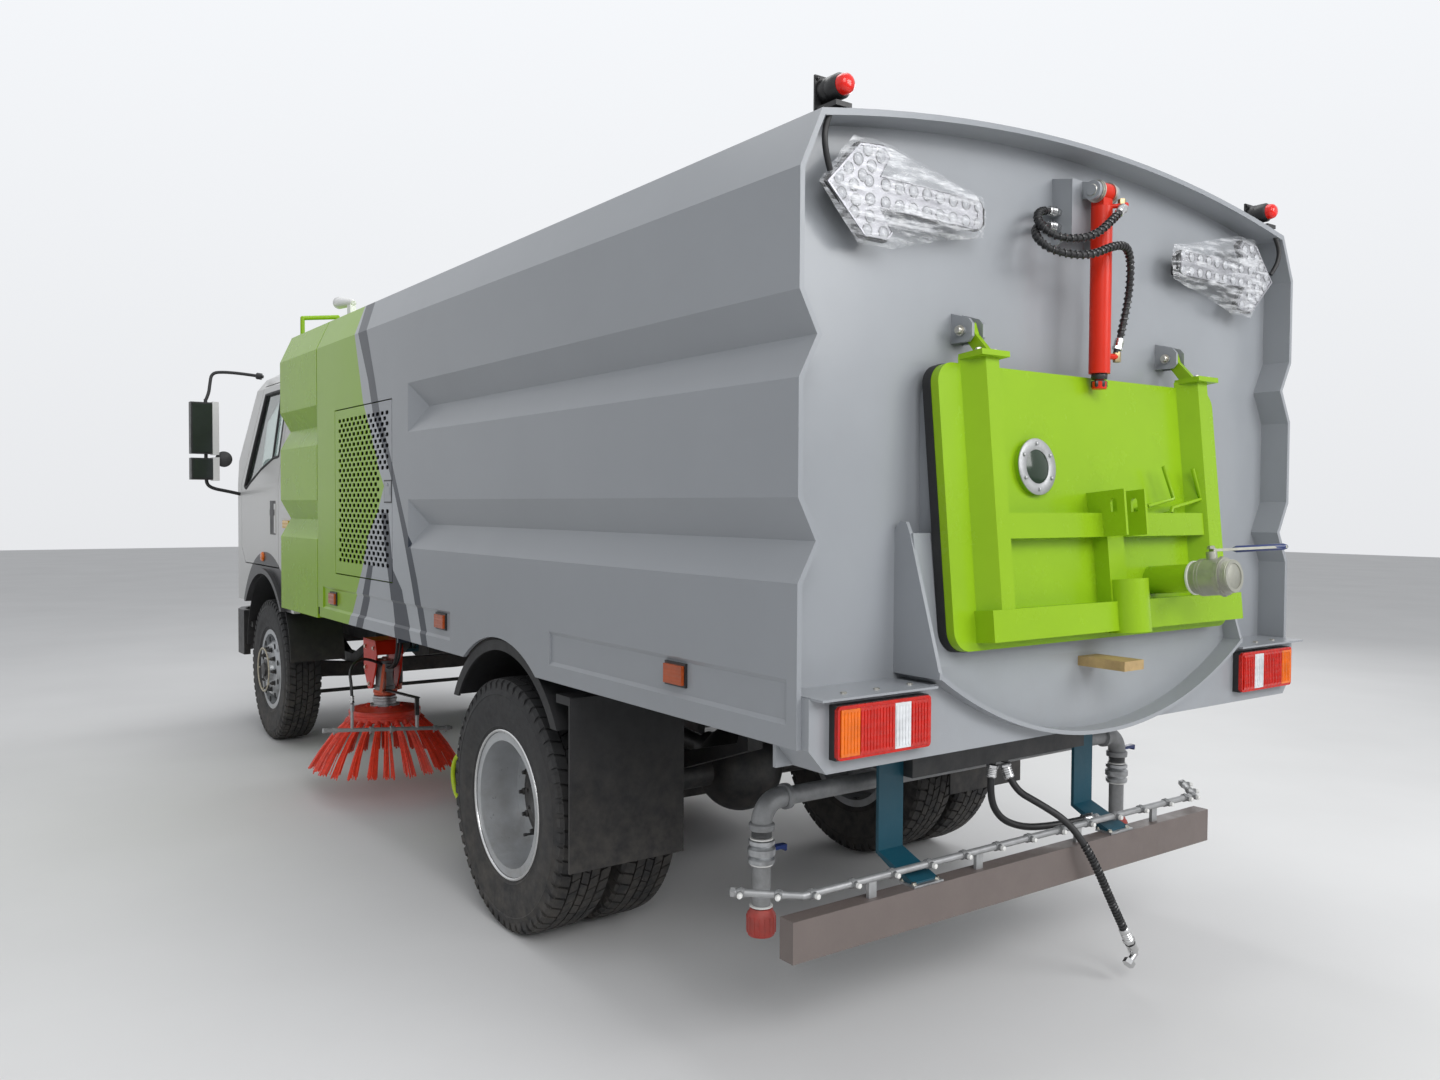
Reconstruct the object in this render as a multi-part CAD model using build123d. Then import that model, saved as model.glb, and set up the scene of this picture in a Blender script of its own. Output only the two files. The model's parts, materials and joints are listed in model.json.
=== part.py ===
from build123d import *
import os
from math import atan2, cos, degrees, hypot, radians, sin, sqrt, tan

# Street sweeper truck. Millimetres, +X forward, +Y to the left, +Z up.
# Stations are measured from the rear axle; save() moves them so that the
# origin is under the middle of the whole truck.

# Overall places
wheelbase = 4200
rear_reach = 2186
front_overhang = 1080
front_reach = wheelbase + front_overhang
rear_axle_x = -(front_reach - rear_reach) / 2

# Tyres and wheels
tyre_radius = 487
tyre_width = 236
bead_radius = 256
rim_flange_radius = 290
rim_wall = 8
front_wheel_y = 850
rear_inner_wheel_y = 752
rear_outer_wheel_y = 1020
hub_radius = 150

# Chassis
rail_outer_y = 430
rail_web = 8
rail_flange = 70
rail_bottom = 790
rail_top = 990
rail_rear_x = -1480
rail_front_x = front_reach - 250
cross_length = 60
cross_bottom = 830
cross_top = 950
kingpin_y = 690
steering_arm = 180

# Body shell
half_width = 1175.6
shell_wall = 15
shell_bottom = 1029
shoulder_z = 2478
corner_y = 1105.6
corner_z = 2632
crown_z = 2740
rim_x = -1810
panel_x = -1710
panel_wall = 12
seam_x = wheelbase - 1916
seam_gap = 10
tank_front_x = wheelbase - 1171
groove_depth = 58.5
groove_end_x = 897
groove_taper = 110
bulkhead_x = 1050
cut_half = half_width + 125
arch_x = -38
arch_z = 608
arch_radius = 530

# Hopper pivot and hoists
pivot_x = -1620
pivot_z = 950
pivot_pin_radius = 18
hoist_y = 220
hoist_base_x = 750
hoist_base_z = 660
hoist_eye_x = -600
hoist_eye_z = 960
hoist_radius = 50
hoist_rod_radius = 30

# Discharge door, its hinges and its cylinder
door_half = 674
door_bottom = 1240
door_top = 2040
door_face_x = -1795
door_thick = 45
door_corner = 60
door_tilt = 5.71
door_pin_x = -1755
door_pin_z = 2140
door_hinge_y = 500
cylinder_pin_x = -1830
cylinder_pin_z = 2600
cylinder_radius = 32
cylinder_length = 550
seat_thick = 13

# Cab
cab_half = 980
cab_wall = 40
cab_rear_x = wheelbase - 700
cab_front_x = front_reach - 10
cab_bottom = 930
cab_floor = 1170
cab_roof = 2620
tilt_pin_x = front_reach - 85
tilt_pin_z = 880
front_arch_radius = 600
front_arch_z = 560

# Side brushes
brush_x = wheelbase - 1900
brush_y = 800
brush_post_x = wheelbase - 1750
brush_post_y = 690
brush_pivot_x = wheelbase - 1400
brush_pivot_y = 500
bristle_radius = 400
bristle_tip_z = 165
brush_plate_radius = 195
brush_plate_z = 430


def save(name, shape):
    export_step(Pos(rear_axle_x, 0, 0) * shape, f"parts/{name}.step")


def slab(points, axis, start, stop):
    """Extrude a closed outline along x (y, z points), y (x, z) or z (x, y)."""
    if axis == "x":
        corners = [(start, a, b) for a, b in points]
        way = (1, 0, 0)
    elif axis == "y":
        corners = [(a, start, b) for a, b in points]
        way = (0, 1, 0)
    else:
        corners = [(a, b, start) for a, b in points]
        way = (0, 0, 1)
    return extrude(make_face(Polyline(*corners, close=True)), amount=stop - start, dir=way)


def block(x0, x1, y0, y1, z0, z1):
    return Pos((x0 + x1) / 2, (y0 + y1) / 2, (z0 + z1) / 2) * Box(x1 - x0, y1 - y0, z1 - z0)


def bar(start, stop, radius):
    """Round bar between two points."""
    way = Vector(*stop) - Vector(*start)
    return extrude(Plane(origin=start, z_dir=way) * Circle(radius), amount=way.length)


def pipe(start, stop, radius, bore):
    return bar(start, stop, radius) - bar(start, stop, bore)


def spun(points, x, y, z):
    """Turn (radius, y) points about a line along Y through (x, y, z)."""
    face = make_face(Polyline(*[(r, a, 0) for r, a in points], close=True))
    return Pos(x, y, z) * revolve(face, Axis.Y)


def turned(points, x, y):
    """Turn (radius, z) points about a vertical line through (x, y)."""
    face = make_face(Polyline(*[(r, 0, h) for r, h in points], close=True))
    return Pos(x, y, 0) * revolve(face, Axis.Z)


def other_side(shape):
    return mirror(shape, about=Plane.XZ)


def both(shape):
    return [shape, other_side(shape)]


def joined(shapes):
    """Fuse a list of shapes into one."""
    first = shapes[0]
    return first.fuse(*shapes[1:]) if len(shapes) > 1 else first


# Body outline: half section points with a wall offset, closed by a roof arc.

def body_face(x, inset, bottom):
    """Section of the body at x, drawn in by inset."""
    lean = (half_width - corner_y) / (corner_z - shoulder_z)
    side = half_width - inset
    shoulder = shoulder_z - inset * 0.25
    corner = corner_z - inset * 1.1
    top_y = side - (corner - shoulder) * lean
    edges = [
        Line((x, -side, bottom), (x, -side, shoulder)),
        Line((x, -side, shoulder), (x, -top_y, corner)),
        ThreePointArc((x, -top_y, corner), (x, 0, crown_z - inset), (x, top_y, corner)),
        Line((x, top_y, corner), (x, side, shoulder)),
        Line((x, side, shoulder), (x, side, bottom)),
        Line((x, side, bottom), (x, -side, bottom)),
    ]
    return make_face(edges)


def body_solid(x0, x1, inset, bottom):
    return extrude(body_face(x0, inset, bottom), amount=x1 - x0, dir=(1, 0, 0))


# Side grooves: middle height, height above it, height below it
groove_rows = [(2070, 106, 111), (1552, 109, 106)]
groove_grow = 1 + shell_wall * 1.14 / groove_depth
groove_stop = groove_end_x + groove_taper * 1.8


def groove(row, x0, x1, grow, tapered):
    """One V groove on the left side, as the solid that it takes away."""
    middle, above, below = row
    depth = groove_depth * grow
    outside = half_width + 40
    reach = (outside - half_width + depth) / depth
    points = [
        (outside, middle + above * grow * reach),
        (half_width - depth, middle),
        (outside, middle - below * grow * reach),
    ]
    wedge = slab(points, "x", x0, x1)
    if tapered:
        end_x = groove_end_x + groove_taper * (grow - 1) * 0.5
        low_x = end_x - groove_taper * grow
        nose = [
            (low_x, half_width - depth),
            (end_x + groove_taper * 2, half_width + groove_depth * 2),
            (end_x + groove_taper * 4, half_width - depth),
        ]
        wedge = wedge - slab(nose, "z", middle - 400, middle + 400)
    return wedge


def grooves(x0, x1, grow, tapered):
    wedges = []
    for row in groove_rows:
        wedges += both(groove(row, x0, x1, grow, tapered))
    return wedges


def grooved(solid, x0, x1, grow, tapered):
    for wedge in grooves(x0, x1, grow, tapered):
        solid = solid - wedge
    return solid


# Hoses: points of each run of bends, from its port to its free or far end
rear_hose_points = [
    (-1450, -40, 768), (-1478, -48, 690), (-1545, -105, 645), (-1610, -165, 592), (-1650, -205, 520),
    (-1668, -262, 420), (-1674, -330, 300), (-1676, -436, 138),
]
loop_hose_points = [
    (-1440, 10, 768), (-1436, 22, 680), (-1448, -10, 590), (-1478, -98, 548), (-1515, -208, 545),
    (-1550, -310, 555), (-1562, -375, 558),
]
top_hose_points = [
    (-1737, 104, 2545), (-1745, 190, 2540), (-1786, 250, 2480), (-1846, 228, 2425), (-1893, 130, 2432),
    (-1900, 38, 2500), (-1882, -36, 2550),
]
bottom_hose_points = [
    (-1737, 104, 2500), (-1747, 195, 2494), (-1788, 264, 2440), (-1846, 254, 2385), (-1902, 158, 2372),
    (-1916, 50, 2420), (-1900, -40, 2428), (-1868, -98, 2350), (-1848, -102, 2230), (-1838, -72, 2118),
]
rear_hose_radius = 12
loop_hose_radius = 12
cylinder_hose_radius = 9.5


def hose_radii(points):
    """Bend radius at each inner point, from the shorter run beside it."""
    spots = [Vector(*point) for point in points]
    radii = []
    for before, here, after in zip(spots, spots[1:], spots[2:]):
        one = here - before
        two = after - here
        turn = radians(one.get_angle(two))
        radii.append(0.45 * min(one.length, two.length) / tan(turn / 2))
    return radii


def hose(name, points, radius):
    radii = hose_radii(points)
    path = FilletPolyline(*points, radius=radii)
    tube = sweep(Plane(origin=path @ 0, z_dir=path % 0) * Circle(radius), path=path)
    volume = 3.14159265 * radius ** 2 * path.length
    print(name, "length", round(path.length), "bends", [round(r) for r in radii],
          "volume ratio", round(tube.volume / volume, 4))
    return tube


def make_hose_elbow():
    """Swivel elbow and nut on the free end of the rear hose."""
    x, y, z = rear_hose_points[-1]
    before = Vector(*rear_hose_points[-2])
    way = (Vector(x, y, z) - before).normalized()
    collar_end = Vector(x, y, z) + way * 34
    bend = collar_end + way * 16
    nut = bend + Vector(0, 26, -20)
    pieces = [
        bar((x, y, z), tuple(collar_end), 18),
        bar(tuple(collar_end), tuple(bend), 11),
        Pos(*tuple(bend)) * Sphere(11),
        bar(tuple(bend), tuple(nut), 11),
        extrude(Plane(origin=tuple(nut), z_dir=(0, 26, -20)) * RegularPolygon(20, 6), amount=18),
    ]
    return joined(pieces)


# Chassis: two channel rails, crossmembers, hopper pivot ears and hoist ears

hoist_cross_x = hoist_base_x + 40
cross_rows = [rail_rear_x, -850, hoist_cross_x, 1500, seam_x - 284, cab_rear_x - 350, rail_front_x - 60]
ear_reach = 28


def make_frame():
    web = [(rail_outer_y, rail_bottom), (rail_outer_y, rail_top),
           (rail_outer_y - rail_flange, rail_top), (rail_outer_y - rail_flange, rail_top - rail_web),
           (rail_outer_y - rail_web, rail_top - rail_web), (rail_outer_y - rail_web, rail_bottom + rail_web),
           (rail_outer_y - rail_flange, rail_bottom + rail_web), (rail_outer_y - rail_flange, rail_bottom)]
    rail = slab(web, "x", rail_rear_x, rail_front_x)
    pieces = both(rail)
    inner = rail_outer_y - rail_web / 2
    for x in cross_rows:
        low = rail_bottom if x == rail_rear_x else cross_bottom
        pieces.append(block(x, x + cross_length, -inner, inner, low, cross_top))
    for x, y, z in (rear_hose_points[0], loop_hose_points[0]):
        pieces.append(bar((x, y, z + 8), (x, y, rail_bottom + 5), 13))
    ear = block(pivot_x - ear_reach, rail_rear_x + 20, rail_outer_y - 50, rail_outer_y,
                pivot_z - ear_reach, pivot_z + ear_reach)
    pin = bar((pivot_x, rail_outer_y - 90, pivot_z), (pivot_x, rail_outer_y - 10, pivot_z), pivot_pin_radius)
    pieces += both(ear) + both(pin)
    for side in (hoist_y - 62, hoist_y + 50):
        lug = slab([(hoist_base_x - 35, hoist_base_z - 35), (hoist_base_x + 35, hoist_base_z - 35),
                    (hoist_cross_x + cross_length, cross_bottom + 10), (hoist_cross_x, cross_bottom + 10)],
                   "y", side, side + 12)
        pieces += both(lug)
    hoist_pin = bar((hoist_base_x, hoist_y - 60, hoist_base_z), (hoist_base_x, hoist_y + 60, hoist_base_z), 15)
    pieces += both(hoist_pin)
    return joined(pieces)


# Running gear

def tyre(y):
    half = tyre_width / 2
    points = [
        (bead_radius + 6, -half * 0.69), (bead_radius + 38, -half * 0.73), (tyre_radius - 110, -half),
        (tyre_radius - 45, -half * 0.97), (tyre_radius - 14, -half * 0.84), (tyre_radius, -half * 0.7),
        (tyre_radius, half * 0.7), (tyre_radius - 14, half * 0.84), (tyre_radius - 45, half * 0.97),
        (tyre_radius - 110, half), (bead_radius + 38, half * 0.73), (bead_radius + 6, half * 0.69),
    ]
    return spun(points, 0, y, tyre_radius)


def rim(y, disc_y, bulge):
    """Wheel rim with its disc; disc_y and bulge are outward of the rim's middle."""
    half = tyre_width * 0.36
    lip = half + 14
    barrel = [
        (bead_radius - 12, -lip), (rim_flange_radius - 4, -lip), (rim_flange_radius - 4, -lip + rim_wall),
        (bead_radius + 4, -half + 2), (bead_radius + 4, half - 2), (rim_flange_radius - 4, lip - rim_wall),
        (rim_flange_radius - 4, lip), (bead_radius - 12, lip),
    ]
    disc = [
        (hub_radius - 40, disc_y + bulge - 12), (hub_radius + 20, disc_y + bulge - 12),
        (bead_radius - 12, disc_y - 12), (bead_radius - 6, disc_y - 12), (bead_radius - 6, disc_y),
        (bead_radius - 16, disc_y), (hub_radius + 20, disc_y + bulge), (hub_radius - 40, disc_y + bulge),
    ]
    return joined([spun(barrel, 0, y, tyre_radius), spun(disc, 0, y, tyre_radius)])


front_disc_y = 20
front_bulge = 85
rear_disc_y = -62
axle_end_y = 640


def make_front_wheel():
    wheel_tyre = Pos(wheelbase, 0, 0) * tyre(front_wheel_y)
    disc = rim(front_wheel_y, front_disc_y, front_bulge)
    face_y = front_wheel_y + front_disc_y + front_bulge
    cap = spun([(38, face_y - 130), (hub_radius - 40, face_y - 130), (hub_radius - 40, face_y), (88, face_y),
                (80, face_y + 30), (0, face_y + 30), (0, face_y - 60), (38, face_y - 60)], 0, 0, tyre_radius)
    return wheel_tyre, Pos(wheelbase, 0, 0) * joined([disc, cap])


def make_rear_wheels():
    tyres = joined_solids([tyre(rear_inner_wheel_y), tyre(rear_outer_wheel_y)])
    inner_disc = rim(rear_inner_wheel_y, -rear_disc_y, 0)
    outer_disc = rim(rear_outer_wheel_y, rear_disc_y, 0)
    joint_y = rear_inner_wheel_y - rear_disc_y
    start = axle_end_y + 20
    carrier = spun([(62, start), (110, start), (110, joint_y + 150), (95, joint_y + 170), (0, joint_y + 170),
                    (0, joint_y + 120), (62, joint_y + 120)], 0, 0, tyre_radius)
    outer_face = rear_outer_wheel_y + rear_disc_y
    clamp = spun([(100, joint_y - 12), (bead_radius - 60, joint_y - 12), (bead_radius - 60, outer_face),
                  (100, outer_face)], 0, 0, tyre_radius)
    return tyres, joined([inner_disc, outer_disc, carrier, clamp])


def joined_solids(shapes):
    return Compound(children=list(shapes))


def make_rear_axle():
    tube = bar((0, -axle_end_y, tyre_radius), (0, axle_end_y, tyre_radius), 60)
    spindle = bar((0, -axle_end_y - 190, tyre_radius), (0, axle_end_y + 190, tyre_radius), 45)
    bowl = Pos(0, 0, tyre_radius) * Sphere(190)
    nose = bar((60, 0, tyre_radius + 20), (250, 0, tyre_radius + 42), 75)
    pieces = [tube, spindle, bowl, nose]
    spring_y = rail_outer_y - 40
    for side in (-1, 1):
        y = side * spring_y
        pieces.append(leaf_spring(0, y, tyre_radius + 70))
        pieces.append(block(-60, 60, y - 45, y + 45, tyre_radius + 40, tyre_radius + 72))
    return joined(pieces)


spring_half = 620
spring_thick = 70
spring_width = 70


def leaf_spring(x, y, low_z):
    """Bowed leaf pack hung from the rail by two shackles."""
    top = rail_bottom
    points = [
        (x - spring_half, top - 70), (x - spring_half, top), (x - spring_half + 50, top),
        (x - spring_half + 70, top - 55), (x - 120, low_z + spring_thick), (x + 120, low_z + spring_thick),
        (x + spring_half - 70, top - 55), (x + spring_half - 50, top), (x + spring_half, top),
        (x + spring_half, top - 70), (x + 140, low_z), (x - 140, low_z),
    ]
    return slab(points, "y", y - spring_width / 2, y + spring_width / 2)


def make_front_axle():
    beam = slab([(-kingpin_y, 470), (-kingpin_y + 60, 520), (-430, 500), (430, 500), (kingpin_y - 60, 520),
                 (kingpin_y, 470), (kingpin_y, 410), (kingpin_y - 120, 410), (400, 400), (-400, 400),
                 (-kingpin_y + 120, 410), (-kingpin_y, 410)], "x", wheelbase - 45, wheelbase + 45)
    pieces = [beam]
    for side in (-1, 1):
        y = side * kingpin_y
        pieces.append(bar((wheelbase, y, 385), (wheelbase, y, 560), 34))
        spring_y = side * (rail_outer_y - 45)
        pieces.append(leaf_spring(wheelbase, spring_y, 500))
    return joined(pieces)


def make_knuckle():
    """Left stub axle: fork round the kingpin boss, spindle and steering arm."""
    y = kingpin_y
    fork = joined([
        bar((wheelbase, y, 350), (wheelbase, y, 384), 42),
        bar((wheelbase, y, 561), (wheelbase, y, 595), 42),
        block(wheelbase - 40, wheelbase + 40, y + 38, y + 62, 350, 595),
        block(wheelbase - 40, wheelbase + 40, y, y + 40, 350, 384),
        block(wheelbase - 40, wheelbase + 40, y, y + 40, 561, 595),
        bar((wheelbase, y + 60, tyre_radius), (wheelbase, front_wheel_y + 30, tyre_radius), 34),
    ])
    arm = slab([(wheelbase, y + 22), (wheelbase, y - 22), (wheelbase - steering_arm - 18, y - 16),
                (wheelbase - steering_arm - 18, y + 16)], "z", 350, 372)
    return joined([fork, arm])


tie_end_y = kingpin_y


def make_tie_rod():
    x = wheelbase - steering_arm
    return joined([
        bar((x, -tie_end_y + 6, 330), (x, tie_end_y - 6, 330), 13),
        bar((x, tie_end_y, 312), (x, tie_end_y, 349.5), 20),
        bar((x, -tie_end_y, 312), (x, -tie_end_y, 349.5), 20),
    ])


engine_rear_x = wheelbase - 940
engine_front_x = wheelbase + 520
gearbox_front_x = wheelbase - 300
engine_half = 320


def make_engine():
    block_body = block(gearbox_front_x, engine_front_x, -engine_half, engine_half, 660, 1300)
    gearbox = slab([(gearbox_front_x, 700), (gearbox_front_x, 1040), (engine_rear_x + 40, 900),
                    (engine_rear_x, 860), (engine_rear_x, 640), (engine_rear_x + 240, 600)], "y", -170, 170)
    return joined([block_body, gearbox])


def make_propeller_shaft():
    return joined([
        bar((engine_rear_x - 6, 0, 740), (255, 0, tyre_radius + 43), 42),
        bar((engine_rear_x - 66, 0, 735.8), (engine_rear_x - 6, 0, 740), 62),
    ])


sweeper_engine_box = (bulkhead_x + 200, seam_x - 204, -330, 330, cross_top, 1820)


def make_sweeper_engine():
    return block(*sweeper_engine_box)


# Body: hopper, water tank, doors

floor_join_y = 560
floor_radius = 869
floor_low = 1000
floor_wall = 12
beam_y0 = 346
beam_y1 = 426
beam_bottom = 996
beam_top = 1080


def trough_z(y):
    return floor_low + floor_radius - sqrt(floor_radius ** 2 - y ** 2)


def trough_floor(x0, x1):
    """Floor of the bin: a round trough with sloped sides up to the walls."""
    side = half_width - shell_wall / 2
    join_z = trough_z(floor_join_y)
    wall_z = 1500
    edges = [
        Line((x0, -side, wall_z), (x0, -floor_join_y, join_z)),
        ThreePointArc((x0, -floor_join_y, join_z), (x0, 0, floor_low), (x0, floor_join_y, join_z)),
        Line((x0, floor_join_y, join_z), (x0, side, wall_z)),
        Line((x0, side, wall_z), (x0, side, wall_z + floor_wall)),
        Line((x0, side, wall_z + floor_wall), (x0, floor_join_y, join_z + floor_wall)),
        ThreePointArc((x0, floor_join_y, join_z + floor_wall), (x0, 0, floor_low + floor_wall),
                      (x0, -floor_join_y, join_z + floor_wall)),
        Line((x0, -floor_join_y, join_z + floor_wall), (x0, -side, wall_z + floor_wall)),
        Line((x0, -side, wall_z + floor_wall), (x0, -side, wall_z)),
    ]
    return extrude(make_face(edges), amount=x1 - x0, dir=(1, 0, 0))


access_door = (bulkhead_x + 48, seam_x - 324, 1275, 2125)
access_gap = 6

# Shallow pressed panels along the sills: x from, x to, bottom, top
sill_panels = [(-1769, -470, 1092, 1197), (418, seam_x - 102, 1085, 1193)]
sill_panel_depth = 7
sill_panel_edge = 12


def shell_room(x0, x1):
    """Inside of the shell, with the ridges that the grooves press into it."""
    room = body_solid(x0, x1, shell_wall, shell_bottom - 100)
    return grooved(room, x0 - 10, groove_stop, groove_grow, True)


def make_hopper():
    front = seam_x - seam_gap
    shell = body_solid(rim_x, front, 0, shell_bottom)
    shell = grooved(shell, rim_x - 10, groove_stop, 1, True)
    shell = shell - shell_room(rim_x - 50, front - shell_wall)
    arch = bar((arch_x, -cut_half, arch_z), (arch_x, cut_half, arch_z), arch_radius)
    shell = shell - arch
    x0, x1, z0, z1 = access_door
    shell = shell - block(x0, x1, -cut_half, cut_half, z0, z1)
    shell = shell - block(front - 30, front + 10, -cut_half, cut_half, 900, beam_top)
    for x0, x1, z0, z1 in sill_panels:
        for side in (-1, 1):
            near = half_width - sill_panel_depth
            far = half_width + sill_panel_depth
            slope = sill_panel_edge
            mouth = [(far, z0 - slope * 1.5), (near, z0 + slope / 2), (near, z1 - slope / 2), (far, z1 + slope * 1.5)]
            shell = shell - slab([(side * y, z) for y, z in mouth], "x", x0, x1)
    floor = trough_floor(panel_x + panel_wall, bulkhead_x + shell_wall)
    floor = grooved(floor, panel_x - 10, bulkhead_x + 60, (1 + groove_grow) / 2, True)
    pieces = [shell, floor]
    wall = body_solid(bulkhead_x, bulkhead_x + shell_wall, shell_wall / 2, floor_low)
    wall = wall - block(bulkhead_x - 10, bulkhead_x + 40, -cut_half, cut_half, 900, floor_low + 5)
    pieces.append(wall)
    beam = block(panel_x + 20, front, beam_y0, beam_y1, beam_bottom, beam_top)
    pieces += both(beam)
    ear = block(pivot_x - 32, pivot_x + 32, beam_y0, beam_y0 + 24, pivot_z - 30, beam_bottom + 10)
    hole = bar((pivot_x, beam_y0 - 10, pivot_z), (pivot_x, beam_y0 + 50, pivot_z), pivot_pin_radius + 1)
    pieces += both(ear)
    eye_plate = []
    for side in (hoist_y - 52, hoist_y + 40):
        eye_plate.append(block(hoist_eye_x - 35, hoist_eye_x + 35, side, side + 12,
                               hoist_eye_z - 30, trough_z(side) + 8))
    for plate in eye_plate:
        pieces += both(plate)
    for head_y in (hoist_y - 64, hoist_y + 46):
        head = bar((hoist_eye_x, head_y, hoist_eye_z), (hoist_eye_x, head_y + 18, hoist_eye_z), 15)
        pieces += both(head)
    whole = joined(pieces)
    for one in both(hole):
        whole = whole - one
    return whole


opening_half = 640
opening_bottom = 1290
opening_top = 2000
nose_half = 740
nose_top = 1567
lip_radius = 1330
lip_low = 955
lip_wall = 12
lip_half = 745
lip_rear_x = -1885
sill_bottom = 965
sill_top = 1160
sill_x = -1840
lamp_half = 165
lamp_y = 930
lamp_bottom = 1003
lamp_top = 1140
lamp_depth = 38


def tilted(shape):
    """Lean a piece that is drawn upright, about the top edge of the door's face."""
    return shape.rotate(Axis((door_face_x, 0, door_top), (0, 1, 0)), door_tilt)


def rounded_slab(half, bottom, top, radius, x0, x1):
    """Rounded rectangle facing rearward."""
    sketch = RectangleRounded(half * 2, top - bottom, radius)
    plane = Plane(origin=(x0, 0, (top + bottom) / 2), x_dir=(0, 1, 0), z_dir=(1, 0, 0))
    return extrude(plane * sketch, amount=x1 - x0)


def lip_solid(radius_step, x0, x1, half):
    """Everything above the lip's arc, within half either side."""
    centre_z = lip_low + lip_radius
    radius = lip_radius - radius_step
    end_z = centre_z - sqrt(radius ** 2 - half ** 2)
    edges = [
        ThreePointArc((x0, -half, end_z), (x0, 0, centre_z - radius), (x0, half, end_z)),
        Line((x0, half, end_z), (x0, half, nose_top + 100)),
        Line((x0, half, nose_top + 100), (x0, -half, nose_top + 100)),
        Line((x0, -half, nose_top + 100), (x0, -half, end_z)),
    ]
    return extrude(make_face(edges), amount=x1 - x0, dir=(1, 0, 0))


seat_x = door_face_x + door_thick + seat_thick


bracket_x = -1777


def make_rear_panel():
    plate = body_solid(panel_x, panel_x + panel_wall, shell_wall, sill_bottom)
    plate = grooved(plate, panel_x - 10, panel_x + 40, groove_grow, False)
    sill_half = half_width - shell_wall
    sill_corner = sill_half - 57.6
    sill = slab([(-sill_half, sill_top), (-sill_half, shell_bottom), (-sill_corner, sill_bottom),
                 (sill_corner, sill_bottom), (sill_half, shell_bottom), (sill_half, sill_top)],
                "x", sill_x, panel_x)
    nose = slab([(panel_x, nose_top), (panel_x, lip_low), (seat_x - 85, lip_low), (seat_x - 85, 1200),
                 (seat_x - 40, nose_top)], "y", -nose_half, nose_half)
    nose = nose & lip_solid(0, panel_x - 200, panel_x, nose_half)
    sill = sill - lip_solid(lip_wall / 2, sill_x - 5, panel_x + 5, lip_half)
    collar = rounded_slab(door_half - 25, door_bottom + 25, door_top - 25, door_corner, seat_x, seat_x + 90)
    inside = panel_x + panel_wall
    collar = tilted(collar) - block(inside, inside + 400, -cut_half, cut_half, lip_low, door_top + 300)
    lip = lip_solid(0, lip_rear_x, panel_x, lip_half)
    lip = lip - lip_solid(lip_wall, lip_rear_x - 5, panel_x + 5, lip_half + 20)
    lip_end_z = lip_low + lip_radius - sqrt(lip_radius ** 2 - lip_half ** 2)
    gusset = slab([(panel_x, lip_end_z - 5), (panel_x, 1575), (panel_x - 22, 1600), (panel_x - 44, 1598),
                   (panel_x - 58, 1570), (lip_rear_x, lip_end_z + 4), (lip_rear_x, lip_end_z - 5)],
                  "y", lip_half - 12, lip_half)
    visor = block(lip_rear_x, panel_x, lamp_y - lamp_half - 15, half_width - shell_wall - 6,
                  sill_top - 3, sill_top + 3)
    solid = joined([plate, sill, nose, collar, lip] + both(gusset) + both(visor))
    mouth = tilted(rounded_slab(opening_half - 40, opening_bottom + 20, opening_top - 20, door_corner - 10,
                                seat_x - 60, seat_x + 200))
    solid = solid - mouth
    ears = []
    for shift in (-28, 18):
        ear = slab([(panel_x + 2, door_pin_z + 55), (door_pin_x - 20, door_pin_z + 34),
                    (door_pin_x - 34, door_pin_z + 18), (door_pin_x - 34, door_pin_z - 18),
                    (door_pin_x - 20, door_pin_z - 32),
                    (panel_x + 2, door_pin_z - 32)], "y", door_hinge_y + shift, door_hinge_y + shift + 10)
        ears += both(ear)
    pin = bar((door_pin_x, door_hinge_y - 40, door_pin_z), (door_pin_x, door_hinge_y + 40, door_pin_z), 12)
    ears += both(pin)
    for side in (-84, 76):
        ears.append(slab([(panel_x + 2, 2655), (bracket_x, 2640), (bracket_x, 2470), (panel_x + 2, 2440)],
                         "y", side, side + 8))
    ears.append(block(bracket_x - 8, bracket_x, -84, 84, 2470, 2640))
    for side in (-36, 26):
        ears.append(slab([(bracket_x - 2, 2640), (cylinder_pin_x - 22, cylinder_pin_z + 18),
                          (cylinder_pin_x - 22, cylinder_pin_z - 18), (bracket_x - 2, cylinder_pin_z - 16)],
                         "y", side, side + 10))
    for low, high in ((-50, -37), (37, 50)):
        ears.append(bar((cylinder_pin_x, low, cylinder_pin_z), (cylinder_pin_x, high, cylinder_pin_z), 29))
    ears.append(bar((cylinder_pin_x, -54, cylinder_pin_z), (cylinder_pin_x, 54, cylinder_pin_z), 16))
    for port in (top_hose_points[0], bottom_hose_points[0]):
        ears.append(bar((port[0], 80, port[2]), (port[0], port[1] - 3, port[2]), 10))
    return joined([solid] + ears)


rib_y0 = 475
rib_y1 = 580
rib_out = 62
rail_out = 52
upper_rail = (1545, 1617)
lower_rail = (1262, 1350)
lug_top = 1682
lug_out = 130
lug_y = 46
stub_y = -245
stub_z = 1407
stub_reach = 150


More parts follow.
